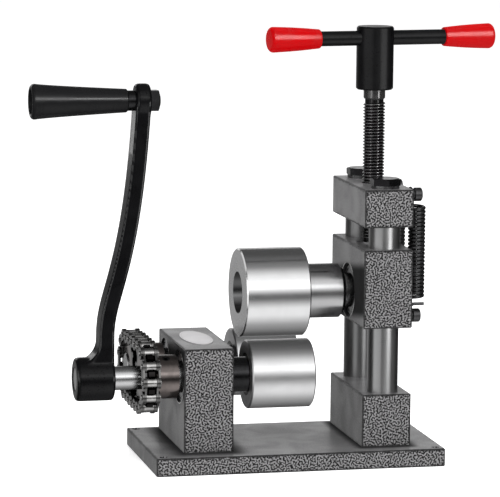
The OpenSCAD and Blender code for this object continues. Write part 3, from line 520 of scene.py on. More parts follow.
        # painted shade: inside the mask the paint turns to the dark edge colour
        paint = g.mix(g.times(painted_dark, self.shade_share), paint, self.edge)
        paint = self._bores(g, place, paint, g.times(g.span(smudge, 0.2, 0.6), left))
        g.feed(shader["Base Color"], g.mix(g.times(edge, self.edge_shade), paint, self.edge))
        rough = g.plus(g.times(smudge, 0.1), self.roughness)
        g.feed(shader["Roughness"], g.plus(rough, g.times(painted_dark, 0.5)))
        unshaded = g.times(g.minus(1.0, edge), g.minus(1.0, painted_dark))
        g.feed(shader["Coat Weight"], g.times(unshaded, self.coat))
        relief = g.times(veins["Height"], g.span(veined, 0.0, 1.0, 0.25, 1.0))
        g.feed(shader["Normal"], g.bump(relief, 1.0, self.relief))
        return made


@dataclass(frozen=True)
class LatheSteel:
    """Bright steel that was turned or ground round a line."""

    centre: Vector
    lathe: Lathe
    tint: Colour = (0.66, 0.66, 0.665)
    roughness: float = 0.17
    face_roughness: float = 0.06
    groove: float = 0.05
    rim: float = 0.0
    rim_band: tuple[float, float] = (1.2 * MM, 0.03 * MM)
    rim_highlight: Colour = (0.98, 0.98, 0.98)
    bore: float = 0.0
    bore_shade: float = 0.12

    def material(self, name: str) -> bpy.types.Material:
        """Make the steel for one piece.

        Args:
            name: The piece's name.

        Returns:
            The material.
        """
        made, g, shader = start_material(f"lathe_steel_{name}", Metallic=1.0)
        place = g.place()
        rings = g.group(EFFECTS.rings[self.lathe], Vector=place, Centre=self.centre)
        smudge = g.group(EFFECTS.smudges, Vector=place, Scale=45.0)
        normal = g.split(g.node("TexCoord").outputs["Normal"])[0 if self.lathe is Lathe.ALONG_X else 2]
        face = g.span(g.math("ABSOLUTE", normal), 0.9, 0.99)
        shade = g.plus(g.times(rings["Rings"], 0.16), g.times(rings["Bands"], 0.05))
        shade = g.plus(shade, g.times(smudge["Smudge"], 0.04))
        steel = g.mix(shade, scaled(self.tint, 1.06), scaled(self.tint, 0.42))
        # painted highlight: a near-white ring on the rim's chamfer
        if self.rim:
            inner, outer = (self.rim - depth for depth in self.rim_band)
            above = g.math("GREATER_THAN", rings["Radius"], inner)
            steel = g.mix(g.times(above, g.math("LESS_THAN", rings["Radius"], outer)), steel, self.rim_highlight)
        # painted shade inside the counterbore
        if self.bore:
            inside = g.math("LESS_THAN", rings["Radius"], self.bore)
            steel = g.mix(inside, steel, scaled(self.tint, self.bore_shade))
        g.feed(shader["Base Color"], steel)
        rough = g.uneven(rings["Rings"], self.roughness, 0.1)
        rough = g.plus(rough, g.times(smudge["Smudge"], 0.05))
        g.feed(shader["Roughness"], g.plus(rough, g.times(face, self.face_roughness)))
        g.feed(shader["Normal"], g.bump(rings["Rings"], self.groove, TOOL_MARK))
        return made


@dataclass(frozen=True)
class DarkMetal:
    """Blackened, oiled or browned steel with rubbed high spots."""

    tint: Colour
    rubbed: Colour
    roughness: float = 0.34
    metallic: float = 0.85
    scale: float = 120.0
    rubbing: float = 0.35
    grain: float = 0.12

    def material(self, name: str) -> bpy.types.Material:
        """Make the metal.

        Args:
            name: The finish's name.

        Returns:
            The material.
        """
        made, g, shader = start_material(f"dark_metal_{name}", Metallic=self.metallic)
        place = g.place()
        smudge = g.group(EFFECTS.smudges, Vector=place, Scale=self.scale)
        rubbed = g.times(smudge["Speck"], self.rubbing)
        base = g.mix(smudge["Smudge"], scaled(self.tint, 0.75), scaled(self.tint, 1.25))
        g.feed(shader["Base Color"], g.mix(rubbed, base, self.rubbed))
        rough = g.uneven(smudge["Smudge"], self.roughness, 0.16)
        g.feed(shader["Roughness"], g.minus(rough, g.times(rubbed, 0.1)))
        grain = g.noise(place, self.scale * 22.0, detail=3.0)
        g.feed(shader["Normal"], g.bump(grain, self.grain, 0.05 * MM))
        return made


@dataclass(frozen=True)
class SprocketSteel:
    """Browned steel on a sprocket's hub, and painted shade darkening its teeth under the chain."""

    centre: Vector
    hub_r: float = 17 * MM
    brown: Colour = (0.19, 0.165, 0.157)
    painted_dark: Colour = (0.012, 0.011, 0.011)
    roughness: float = 0.15
    groove: float = 0.04

    def material(self, name: str) -> bpy.types.Material:
        """Make the steel for one sprocket.

        Args:
            name: The sprocket's name.

        Returns:
            The material.
        """
        made, g, shader = start_material(f"sprocket_steel_{name}", Metallic=1.0)
        place = g.place()
        rings = g.group(EFFECTS.rings[Lathe.ALONG_X], Vector=place, Centre=self.centre)
        smudge = g.group(EFFECTS.smudges, Vector=place, Scale=90.0)
        hub = g.mix(smudge["Smudge"], scaled(self.brown, 0.8), scaled(self.brown, 1.2))
        # painted shade: the teeth past the hub turn dark
        oiled = g.span(rings["Radius"], self.hub_r, 1.08 * self.hub_r)
        g.feed(shader["Base Color"], g.mix(oiled, hub, self.painted_dark))
        g.feed(shader["Roughness"], g.uneven(rings["Rings"], self.roughness, 0.1))
        g.feed(shader["Normal"], g.bump(rings["Rings"], self.groove, TOOL_MARK))
        return made


@dataclass(frozen=True)
class ThreadSteel:
    """Dark steel of a screw: crests pale, part wear from the nut and part painted highlight; roots dark, part
    grease and part painted shade.
    """

    centre: Vector
    root_r: float
    crest_r: float
    end: float
    rubbed: Colour = (0.23, 0.227, 0.228)
    painted_dark: Colour = (0.018, 0.0178, 0.0178)
    plain: Colour = (0.1, 0.098, 0.098)
    roughness: float = 0.2
    groove: float = 0.04

    def material(self, name: str) -> bpy.types.Material:
        """Make the steel for one screw.

        Args:
            name: The screw's name.

        Returns:
            The material.
        """
        made, g, shader = start_material(f"thread_steel_{name}", Metallic=0.8)
        place = g.place()
        rings = g.group(EFFECTS.rings[Lathe.ALONG_Z], Vector=place, Centre=self.centre)
        smudge = g.group(EFFECTS.smudges, Vector=place, Scale=110.0)
        # pale crests and dark roots: part wear and grease, part painted highlight and shade
        crest = g.span(rings["Radius"], self.root_r, self.crest_r)
        crest = g.times(crest, g.span(smudge["Smudge"], 0.0, 1.0, 0.7, 1.0))
        above = g.math("GREATER_THAN", g.split(place)[2], self.end)
        g.feed(shader["Base Color"], g.mix(above, g.mix(crest, self.painted_dark, self.rubbed), self.plain))
        g.feed(shader["Roughness"], g.uneven(smudge["Smudge"], self.roughness, 0.1))
        g.feed(shader["Normal"], g.bump(rings["Rings"], self.groove, TOOL_MARK))
        return made


@dataclass(frozen=True)
class BlackEnamel:
    """Black paint over a cast or bar surface, with a coat on top."""

    tint: Colour = (0.0025, 0.0025, 0.0028)
    roughness: float = 0.3
    coat: float = 0.25
    coat_roughness: float = 0.06
    gloss: float = 0.02
    ripple: float = 0.24
    ripple_scale: float = 130.0

    def material(self, name: str) -> bpy.types.Material:
        """Make the enamel.

        Args:
            name: The finish's name.

        Returns:
            The material.
        """
        made, g, shader = start_material(
            f"black_enamel_{name}",
            Coat_Roughness=self.coat_roughness,
            Coat_IOR=1.5,
            Specular_IOR_Level=self.gloss,
        )
        place = g.place()
        smudge = g.group(EFFECTS.smudges, Vector=place, Scale=60.0)
        g.feed(shader["Base Color"], g.mix(smudge["Smudge"], self.tint, scaled(self.tint, 1.7)))
        g.feed(shader["Roughness"], g.uneven(smudge["Smudge"], self.roughness, 0.12))
        g.feed(shader["Coat Weight"], g.minus(self.coat, g.times(smudge["Speck"], 0.25)))
        height = g.plus(g.noise(place, self.ripple_scale, detail=2.0),
                        g.times(g.noise(place, 2400.0, detail=2.0), 0.06))
        g.feed(shader["Normal"], g.bump(height, self.ripple, 0.6 * MM))
        return made


@dataclass(frozen=True)
class MouldedPlastic:
    """Moulded plastic with a fine skin and faint flow marks."""

    tint: Colour
    deep: Colour
    roughness: float
    gloss: float
    skin: float = 0.05

    def material(self, name: str) -> bpy.types.Material:
        """Make the plastic.

        Args:
            name: The finish's name.

        Returns:
            The material.
        """
        made, g, shader = start_material(
            f"moulded_plastic_{name}", Coat_Weight=0.0, Specular_IOR_Level=self.gloss
        )
        place = g.place()
        smudge = g.group(EFFECTS.smudges, Vector=place, Scale=70.0)
        g.feed(shader["Base Color"], g.mix(g.times(smudge["Smudge"], 0.7), self.tint, self.deep))
        g.feed(shader["Roughness"], g.uneven(smudge["Smudge"], self.roughness, 0.12))
        g.feed(shader["Normal"], g.bump(g.noise(place, 1900.0, detail=3.0), self.skin, 0.12 * MM))
        return made


@dataclass(frozen=True)
class SatinPlate:
    """The blank oval plate: pale rolled metal with a pressed line inside its rim, darkened by painted shade.
    """

    centre: Vector
    half_width: float
    half_length: float
    tint: Colour = (0.57, 0.56, 0.57)
    roughness: float = 0.43
    line_place: float = 0.9
    line_fade: tuple[float, float] = (0.008, 0.03)

    def material(self, name: str) -> bpy.types.Material:
        """Make the plate's metal.

        Args:
            name: The piece's name.

        Returns:
            The material.
        """
        made, g, shader = start_material(f"satin_plate_{name}", Metallic=0.25)
        place = g.place()
        x, y, _ = g.split(g.vector("SUBTRACT", place, self.centre))
        across, along = g.math("DIVIDE", x, self.half_width), g.math("DIVIDE", y, self.half_length)
        share = g.vector("LENGTH", g.join(across, along, 0.0))
        line = g.minus(1.0, g.span(g.math("ABSOLUTE", g.minus(share, self.line_place)), *self.line_fade))
        rolled = g.noise(g.join(g.times(x, 14.0), y, 0.0), 260.0, detail=4.0)
        smudge = g.group(EFFECTS.smudges, Vector=place, Scale=60.0)
        # painted shade: the pressed line is darker in colour as well as sunk
        tone = g.plus(g.times(rolled, 0.25), g.times(line, 0.3))
        g.feed(shader["Base Color"], g.mix(tone, self.tint, scaled(self.tint, 0.5)))
        g.feed(shader["Roughness"], g.uneven(smudge["Smudge"], self.roughness, 0.14))
        height = g.minus(g.times(rolled, 0.12), g.times(line, 0.6))
        g.feed(shader["Normal"], g.bump(height, 0.4, 0.2 * MM))
        return made


BLACK_OXIDE = DarkMetal((0.016, 0.016, 0.017), (0.09, 0.09, 0.093), roughness=0.17)
POST_STEEL = DarkMetal((0.07, 0.07, 0.072), (0.16, 0.16, 0.165), roughness=0.36)
WASHER_STEEL = DarkMetal((0.14, 0.14, 0.142), (0.3, 0.3, 0.3), roughness=0.2)
RING_STEEL = DarkMetal((0.04, 0.04, 0.041), (0.3, 0.3, 0.3), roughness=0.2, scale=110.0)
SPRING_STEEL = DarkMetal((0.065, 0.065, 0.067), (0.2, 0.2, 0.2), roughness=0.16, scale=160.0)
CHAIN_PLATE = DarkMetal((0.12, 0.118, 0.116), (0.38, 0.38, 0.38), roughness=0.25, metallic=1.0, scale=150.0)
CHAIN_ROLLER = DarkMetal((0.36, 0.355, 0.35), (0.6, 0.6, 0.6), roughness=0.2, metallic=1.0, scale=150.0)
BEARING_STEEL = DarkMetal((0.25, 0.25, 0.255), (0.5, 0.5, 0.51), roughness=0.22, metallic=1.0, scale=110.0)
CRANK_ENAMEL = BlackEnamel()
HANDLE_ENAMEL = BlackEnamel(
    (0.0022, 0.0022, 0.0025), roughness=0.34, coat=0.5, coat_roughness=0.28, gloss=0.03, ripple=0.05
)
GRIP_PLASTIC = MouldedPlastic((0.0085, 0.0085, 0.009), (0.006, 0.006, 0.0065), roughness=0.26, gloss=0.09)
RED_PLASTIC = MouldedPlastic((0.43, 0.0006, 0.002), (0.37, 0.0005, 0.0016), roughness=0.24, gloss=0.07)


def dress(material: bpy.types.Material, *nodes: str) -> None:
    """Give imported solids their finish.

    Args:
        material: The finish.
        nodes: The solids' names in the pack.
    """
    for node in nodes:
        for place in frame["nodes"][node].material_slots:
            place.material = material
        LOG.info("dressed %s with %s", node, material.name)


def piece_from(
    bm: bmesh.types.BMesh, name: str, material: bpy.types.Material, sharp: float = 32.0
) -> bpy.types.Object:
    """Turn a finished bmesh into a smooth-shaded piece of the scene.

    Args:
        bm: The shape, in place, which is freed.
        name: The piece's name.
        material: Its finish.
        sharp: Edges that turn by more than this many degrees stay sharp.

    Returns:
        The new object.
    """
    mesh = bpy.data.meshes.new(name)
    bm.to_mesh(mesh)
    bm.free()
    for face in mesh.polygons:
        face.use_smooth = True
    mesh.set_sharp_from_angle(angle=math.radians(sharp))
    mesh.materials.append(material)
    made = bpy.data.objects.new(name, mesh)
    bpy.context.scene.collection.objects.link(made)
    LOG.info("made %s, %d faces", name, len(mesh.polygons))
    return made


def settle(piece: bpy.types.Object, body: Body, *nodes: str) -> None:
    """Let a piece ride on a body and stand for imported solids."""
    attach(piece, body.value)
    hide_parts(*nodes)


def turned(
    bm: bmesh.types.BMesh, profile: Profile, centre: Vector, axis: Vector, steps: int = 72
) -> None:
    """Spin a closed or open profile about a line.

    Args:
        bm: The mesh that the shape is added to.
        profile: Points of (radius, distance along the line), in metres.
        centre: The point that distances are measured from.
        axis: The line's direction.
        steps: Faces round the line.
    """
    side = axis.orthogonal().normalized()
    before = set(bm.verts)
    points = [bm.verts.new(centre + side * radius + axis * along) for radius, along in profile]
    edges = [bm.edges.new(pair) for pair in zip(points, points[1:])]
    bmesh.ops.spin(
        bm, geom=points + edges, cent=centre, axis=axis, angle=2 * math.pi, steps=steps, use_merge=True
    )
    made = [vert for vert in bm.verts if vert not in before]
    bmesh.ops.remove_doubles(bm, verts=made, dist=1e-6)
    made = [vert for vert in bm.verts if vert not in before]
    faces = {face for vert in made for face in vert.link_faces}
    bmesh.ops.recalc_face_normals(bm, faces=list(faces))


def arc(centre: tuple[float, float], radius: float, start: float, end: float, steps: int) -> Profile:
    """Give points along part of a circle, for a profile.

    Args:
        centre: The circle's middle.
        radius: Its radius.
        start: The first point's angle in degrees.
        end: The last point's angle.
        steps: Pieces that the arc is cut into.

    Returns:
        The points.
    """
    angles = (math.radians(start + (end - start) * i / steps) for i in range(steps + 1))
    return [(centre[0] + radius * math.cos(a), centre[1] + radius * math.sin(a)) for a in angles]


def applied(piece: bpy.types.Object) -> bmesh.types.BMesh:
    """Take a piece's shape with its modifiers applied, and delete the piece.

    Args:
        piece: The object with modifiers.

    Returns:
        The shape as a new bmesh.
    """
    bpy.context.view_layer.update()
    view = piece.evaluated_get(bpy.context.evaluated_depsgraph_get())
    bm = bmesh.new()
    bm.from_mesh(view.to_mesh())
    view.to_mesh_clear()
    bpy.data.objects.remove(piece)
    return bm


def helper_from(bm: bmesh.types.BMesh, name: str) -> bpy.types.Object:
    """Make a bmesh a plain object that modifiers can use.

    Args:
        bm: The shape, which is freed.
        name: The object's name.

    Returns:
        The object.
    """
    mesh = bpy.data.meshes.new(name)
    bm.to_mesh(mesh)
    bm.free()
    made = bpy.data.objects.new(name, mesh)
    bpy.context.scene.collection.objects.link(made)
    return made


def only(kind: type, items: Iterable[object]) -> list:
    """Keep the items of one kind from what a bmesh operator gives back."""
    return [item for item in items if isinstance(item, kind)]


@dataclass
class Wire:
    """A round wire that is bent stretch by stretch from one end."""

    radius: float
    sides: int = 12
    bm: bmesh.types.BMesh = field(default_factory=bmesh.new)
    end: list[bmesh.types.BMEdge] = field(default_factory=list)

    def begin(self, place: Vector, along: Vector) -> None:
        """Set the wire's first section square to a direction.

        Args:
            place: The section's middle.
            along: The wire's direction there.
        """
        square = Matrix.Translation(place) @ along.to_track_quat("Z", "Y").to_matrix().to_4x4()
        ring = bmesh.ops.create_circle(self.bm, segments=self.sides, radius=self.radius, matrix=square)
        self.end = list({edge for vert in ring["verts"] for edge in vert.link_edges})

    def turn(self, centre: Vector, axis: Vector, angle: float, steps: int, rise: Vector = Vector()) -> None:
        """Bend the wire on round a line.

        Args:
            centre: A point on the line.
            axis: The line's direction.
            angle: How far to turn, in degrees.
            steps: Sections of the bend.
            rise: How far the whole bend moves along as it turns.
        """
        verts = list({vert for edge in self.end for vert in edge.verts})
        bent = bmesh.ops.spin(
            self.bm, geom=verts + self.end, cent=centre, axis=axis,
            angle=math.radians(angle), steps=steps, dvec=rise / steps,
        )
        self.end = only(bmesh.types.BMEdge, bent["geom_last"])

    def run(self, along: Vector) -> None:
        """Carry the wire straight on.

        Args:
            along: How far, and which way.
        """
        moved = bmesh.ops.extrude_edge_only(self.bm, edges=self.end)["geom"]
        bmesh.ops.translate(self.bm, vec=along, verts=only(bmesh.types.BMVert, moved))
        self.end = only(bmesh.types.BMEdge, moved)

    def thin(self, share: float) -> None:
        """Draw the wire's end down to a share of its width.

        Args:
            share: What is left of the width.
        """
        verts = list({vert for edge in self.end for vert in edge.verts})
        centre = sum((vert.co for vert in verts), Vector()) / len(verts)
        about = Matrix.Translation(-centre)
        bmesh.ops.scale(self.bm, vec=Vector((share, share, share)), space=about, verts=verts)

    def cap(self) -> None:
        """Close the wire's end."""
        bmesh.ops.edgeloop_fill(self.bm, edges=self.end)


@dataclass(frozen=True)
class ShadedBore:
    """The bearing bores in a block's left side, and the band of painted shade and reflection round them."""

    joints: tuple[str, ...]
    mouth_d: float
    under: float
    over: float


@dataclass
class Blocks:
    """The base plate and the painted blocks, with their screws and the blank plate."""

    painted: tuple[str, ...] = ("base_plate", "bearing_block", "foot_block", "top_block", "slide_block")
    # the blocks that stand on the base plate, each with the reach of its painted contact shadow
    standing: tuple[tuple[str, float], ...] = (("bearing_block", 15 * MM), ("foot_block", 9 * MM))
    screws: tuple[str, ...] = ("bearing_block_screws", "foot_block_screws", "top_bolts")
    posts: tuple[str, ...] = ("upper_spring_posts", "lower_spring_posts")
    slide_bore: ShadedBore = ShadedBore(("upper_roll_spin",), 44 * MM, -25 * MM, 24 * MM)
    drive_bores: ShadedBore = ShadedBore(("crank_turn", "rear_turn"), 42 * MM, -21 * MM, 27 * MM)

    def _paint(self, node: str) -> HammeredPaint:
        """Choose a block's paint from its corners and from what is in it or on it.

        Args:
            node: The block's name in the pack.

        Returns:
            The paint.
        """
        low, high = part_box(node)
        if node == "base_plate":
            seats = tuple((*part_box(block), reach) for block, reach in self.standing)
            return HammeredPaint(low, high, seats=seats)
        bore = {"slide_block": self.slide_bore, "bearing_block": self.drive_bores}.get(node)
        if bore is None:
            return HammeredPaint(low, high)
        centres = [joint_place(joint) for joint in bore.joints]
        mouths = tuple((Vector((low.x, centre.y, centre.z)), bore.mouth_d / 2) for centre in centres)
        return HammeredPaint(low, high, (centres[0].z + bore.under, centres[0].z + bore.over), mouths)

    def dress(self) -> None:
        """Paint each block within its own corners and blacken the fasteners."""
        for node in self.painted:
            dress(self._paint(node).material(node), node)
        dress(BLACK_OXIDE.material("fasteners"), *self.screws)
        dress(POST_STEEL.material("spring_posts"), *self.posts)
        dress(WASHER_STEEL.material("washers"), "top_washers")
        low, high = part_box("oval_plate")
        half = (high - low) / 2
        dress(SatinPlate((low + high) / 2, half.x, half.y).material("oval_plate"), "oval_plate")


@dataclass
class Columns:
    """The two ground columns and the cup that the screw presses on."""

    greys: tuple[tuple[str, float], ...] = (
        ("front_column", 0.43),
        # painted shade: the rear column is the same steel as the front, in a darker grey
        ("rear_column", 0.31),
        ("thrust_cup", 0.4),
    )

    def dress(self) -> None:
        """Give each column ground steel about its own line."""
        for node, grey in self.greys:
            low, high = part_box(node)
            finish = LatheSteel((low + high) / 2, Lathe.ALONG_Z, (grey, grey, 1.006 * grey), roughness=0.28)
            dress(finish.material(node), node)


@dataclass
class Rollers:
    """The three rollers, their shafts and arbor, and the bearings they run in."""

    turned: tuple[tuple[str, float, float], ...] = (
        ("upper_roller", 0.66, 0.17),
        ("front_roller", 0.66, 0.3),
        ("rear_roller", 0.66, 0.3),
        ("upper_arbor", 0.42, 0.18),
        ("front_shaft", 0.5, 0.2),
        ("rear_shaft", 0.5, 0.2),
    )
    counterbore_d: float = 34 * MM
    counterbore_play: float = 0.05 * MM
    fasteners: tuple[str, ...] = tuple(
        f"{side}_roller_{kind}" for side in ("front", "rear", "upper") for kind in ("washer", "screw")
    )
    dark: tuple[str, ...] = ("front_spacer", "rear_spacer", "arbor_circlip")
    bearings: tuple[str, ...] = (
        "block_bearing_rings", "block_bearing_balls", "slide_bearing_balls",
        "front_inner_rings", "rear_inner_rings", "upper_inner_rings",
    )

    def dress(self) -> None:
        """Give turned steel to what was turned, and plain finishes to the rest."""
        for node, grey, roughness in self.turned:
            low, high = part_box(node)
            tint = (grey, grey, 1.008 * grey)
            # only the upper roller gets the painted rim highlight
            rim = (high.z - low.z) / 2 if node == "upper_roller" else 0.0
            bore = self.counterbore_d / 2 + self.counterbore_play if node.endswith("roller") else 0.0
            finish = LatheSteel((low + high) / 2, Lathe.ALONG_X, tint, roughness, rim=rim, bore=bore)
            dress(finish.material(node), node)
        for node in (*(node for node, _, _ in self.turned), *self.fasteners, "base_plate"):
            frame["nodes"][node].visible_glossy = False
        dress(BLACK_OXIDE.material("roller_screws"), *self.dark, *self.fasteners)
        dress(BEARING_STEEL.material("bearings"), *self.bearings)
        dress(RING_STEEL.material("slide_bearing_rings"), "slide_bearing_rings")


@dataclass
class ChainDrive:
    """The roller chain and its two sprockets."""

    plates: tuple[str, ...] = ("chain_outer_plates", "chain_inner_plates", "chain_offset_link")
    rollers: tuple[str, ...] = ("chain_rollers", "chain_pins")
    sprockets: tuple[tuple[str, str], ...] = (
        ("front_sprocket", "crank_turn"),
        ("rear_sprocket", "rear_turn"),
    )
    screws: tuple[str, ...] = ("front_sprocket_screw", "rear_sprocket_screw")

    def dress(self) -> None:
        """Give the chain oiled steel and the sprockets browned steel."""
        dress(CHAIN_PLATE.material("chain_plates"), *self.plates)
        dress(CHAIN_ROLLER.material("chain_rollers"), *self.rollers)
        dress(BLACK_OXIDE.material("sprocket_screws"), *self.screws)
        for node, joint in self.sprockets:
            dress(SprocketSteel(joint_place(joint)).material(node), node)


@dataclass
class Crank:
    """The forged crank arm and the grip that turns on its spindle."""

    hub_d: float = 35 * MM
    hub_l: float = 30.5 * MM
    chamfer: float = 1.2 * MM
    arm_t: float = 12 * MM
    arm_w: float = 22 * MM
    bend: float = 28.6 * MM
    straight: float = 0.19
    lean: tuple[float, float] = (0.74, 0.26)
    arm_steps: int = 24
    eye_d: float = 27 * MM
    eye_t: float = 12 * MM
    shaft_d: float = 19.06 * MM
    spindle_d: float = 10.04 * MM
    set_screw_d: float = 6.04 * MM
    drill_l: float = 120 * MM
    fillet_r: float = 17 * MM
    fillet_sink: float = 4 * MM
    grain: float = 0.8 * MM
    softening: int = 34
    grip_d: float = 28 * MM
    grip_neck_d: float = 18.5 * MM
    grip_recess_d: float = 20 * MM
    grip_recess: float = 9.5 * MM
    grip_bore_d: float = 10.12 * MM
    grip_nose_r: float = 3 * MM
    grip_lip: float = 0.8 * MM
    grip_collar: float = 0.6 * MM
    grip_swell: float = 0.8
    grip_steps: int = 28

    def __post_init__(self) -> None:
        """Find the crank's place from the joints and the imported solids."""
        self.shaft = joint_place("crank_turn")
        self.spindle = joint_place("grip_spin")
        low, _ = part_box("crank_arm")
        self.left = low.x
        self.right = low.x + self.hub_l
        self.arm_x = self.right - self.arm_t / 2

    def _line(self, share: float) -> Vector:
        """Give a point on the arm's middle line, which is one cubic curve.

        Args:
            share: How far along, from the hub at 0 to the eye at 1.

        Returns:
            The point.
        """
        start = Vector((self.arm_x, self.shaft.y, self.shaft.z + self.hub_d))
        rise = self.spindle.z - start.z
        first = start + Vector((0, 0, self.straight * rise))
        second = start + Vector((self.lean[0] * self.bend, 0, self.lean[1] * rise))
        end = start + Vector((self.bend, 0, rise))
        t, s = share, 1 - share
        return s**3 * start + 3 * s * s * t * first + 3 * s * t * t * second + t**3 * end

    def _sweep_arm(self, bm: bmesh.types.BMesh) -> None:
        """Extrude the arm's section from the shaft up to the eye.

        Args:
            bm: The mesh that the arm is added to.
        """
        points = [self.shaft.copy()] + [self._line(i / self.arm_steps) for i in range(self.arm_steps + 1)]
        points[0].x = self.arm_x
        grid = bmesh.ops.create_grid(bm, x_segments=1, y_segments=1, size=0.5)
        section = list(grid["verts"])
        bmesh.ops.scale(bm, vec=(self.arm_t, self.arm_w, 1), verts=section)
        bmesh.ops.translate(bm, vec=points[0], verts=section)
        face, lean = section[0].link_faces[0], 0.0
        for before, after in zip(points, points[1:]):
            step = after - before
            moved = bmesh.ops.extrude_face_region(bm, geom=[face])["geom"]
            face = only(bmesh.types.BMFace, moved)[0]
            now = math.atan2(step.x, step.z)
            bmesh.ops.rotate(bm, cent=before, matrix=Matrix.Rotation(now - lean, 3, "Y"), verts=face.verts)
            bmesh.ops.translate(bm, vec=step, verts=face.verts)
            lean = now

    def _fillet(self, bm: bmesh.types.BMesh) -> None:
        """Add the hollow web that runs from the arm's outer side down to the hub.

        Args:
            bm: The mesh that the web is added to.
        """
        side = self.arm_x - self.arm_t / 2
        foot = self.shaft.z + self.hub_d / 2 - self.fillet_sink
        r = self.fillet_r
        outline = [(side + MM, foot - r / 2), (side + MM, foot + r), (side, foot + r)]
        outline += arc((side - r, foot + r), r, 0, -90, 8) + [(side - r, foot - r / 2)]
        front = self.shaft.y - self.arm_w / 2
        face = bm.faces.new([bm.verts.new((x, front, z)) for x, z in outline])
        moved = bmesh.ops.extrude_face_region(bm, geom=[face])["geom"]
        bmesh.ops.translate(bm, vec=self.arm_w * ALONG_Y, verts=only(bmesh.types.BMVert, moved))

    def _cut(self, bm: bmesh.types.BMesh) -> bmesh.types.BMesh:
        """Cut the bores for the shaft, the spindle and the set screw.

        Args:
            bm: The forging, which is freed.

        Returns:
            The drilled forging.
        """
        drills = bmesh.new()
        reach = self.drill_l / 2
        for d, centre in ((self.shaft_d, self.shaft), (self.spindle_d, self.spindle)):
            place = Vector((self.arm_x, centre.y, centre.z))
            turned(drills, [(0, -reach), (d / 2, -reach), (d / 2, reach), (0, reach)], place, ALONG_X)
        low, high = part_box("crank_set_screw")
        mouth = Vector(((low.x + high.x) / 2, self.shaft.y, self.shaft.z))
        half = self.set_screw_d / 2
        turned(drills, [(0, 0), (half, 0), (half, self.hub_d), (0, self.hub_d)], mouth, -UP, 32)
        tool = helper_from(drills, "crank_drills")
        blank = helper_from(bm, "crank_blank")
        cut = blank.modifiers.new("bores", "BOOLEAN")
        cut.operation, cut.solver, cut.object = "DIFFERENCE", "EXACT", tool
        done = applied(blank)
        bpy.data.objects.remove(tool)
        return done

    def build_arm(self) -> None:
        """Forge the arm: join hub, arm, web and eye, and soften their edges together."""
        bm = bmesh.new()
        hub = Vector((self.left, self.shaft.y, self.shaft.z))
        eye = Vector((self.arm_x + self.bend - self.eye_t / 2, self.spindle.y, self.spindle.z))
        for place, diameter, length in ((hub, self.hub_d, self.hub_l), (eye, self.eye_d, self.eye_t)):
            r, c = diameter / 2, self.chamfer
            profile = [(0, 0), (r - c, 0), (r, c), (r, length - c), (r - c, length), (0, length)]
            turned(bm, profile, place, ALONG_X)
        self._sweep_arm(bm)
        self._fillet(bm)
        bmesh.ops.recalc_face_normals(bm, faces=bm.faces)
        blank = helper_from(bm, "crank_forging")
        remesh = blank.modifiers.new("forging", "REMESH")
        remesh.mode, remesh.voxel_size = "VOXEL", self.grain
        soften = blank.modifiers.new("soften", "SMOOTH")
        soften.factor, soften.iterations = 0.5, self.softening
        bm = self._cut(applied(blank))
        settle(piece_from(bm, "crank_forging", CRANK_ENAMEL.material("crank"), sharp=50.0),
               Body.FRONT_DRIVE, "crank_arm")

    def build_grip(self) -> None:
        """Mould the grip: a swelling cone with a round nose, a recess in its free end and a collar."""
        low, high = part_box("crank_grip")
        length = high.x - low.x
        r0, r1, nose = self.grip_d / 2, self.grip_neck_d / 2, self.grip_nose_r
        bore, recess, lip = self.grip_bore_d / 2, self.grip_recess_d / 2, self.grip_lip
        profile = [(bore, self.grip_recess), (recess, self.grip_recess), (recess, lip), (recess + lip, 0)]
        profile += arc((r0 - nose, nose), nose, -90, 0, 8)
        for i in range(1, self.grip_steps + 1):
            share = i / self.grip_steps
            along = nose + (length - nose - self.grip_collar) * share
            profile.append((r0 + (r1 - r0) * share**self.grip_swell, along))
        profile += [(r1 - self.grip_collar, length), (bore, length), (bore, self.grip_recess)]
        bm = bmesh.new()
        turned(bm, profile, Vector((low.x, self.spindle.y, self.spindle.z)), ALONG_X, 96)
        settle(piece_from(bm, "crank_grip_moulding", GRIP_PLASTIC.material("crank_grip")),
               Body.GRIP, "crank_grip")

    def build(self) -> None:
        """Make the arm and the grip and blacken the spindle."""
        self.build_arm()
        self.build_grip()
        dress(BLACK_OXIDE.material("crank_spindle"), "grip_spindle", "grip_nut", "crank_set_screw")


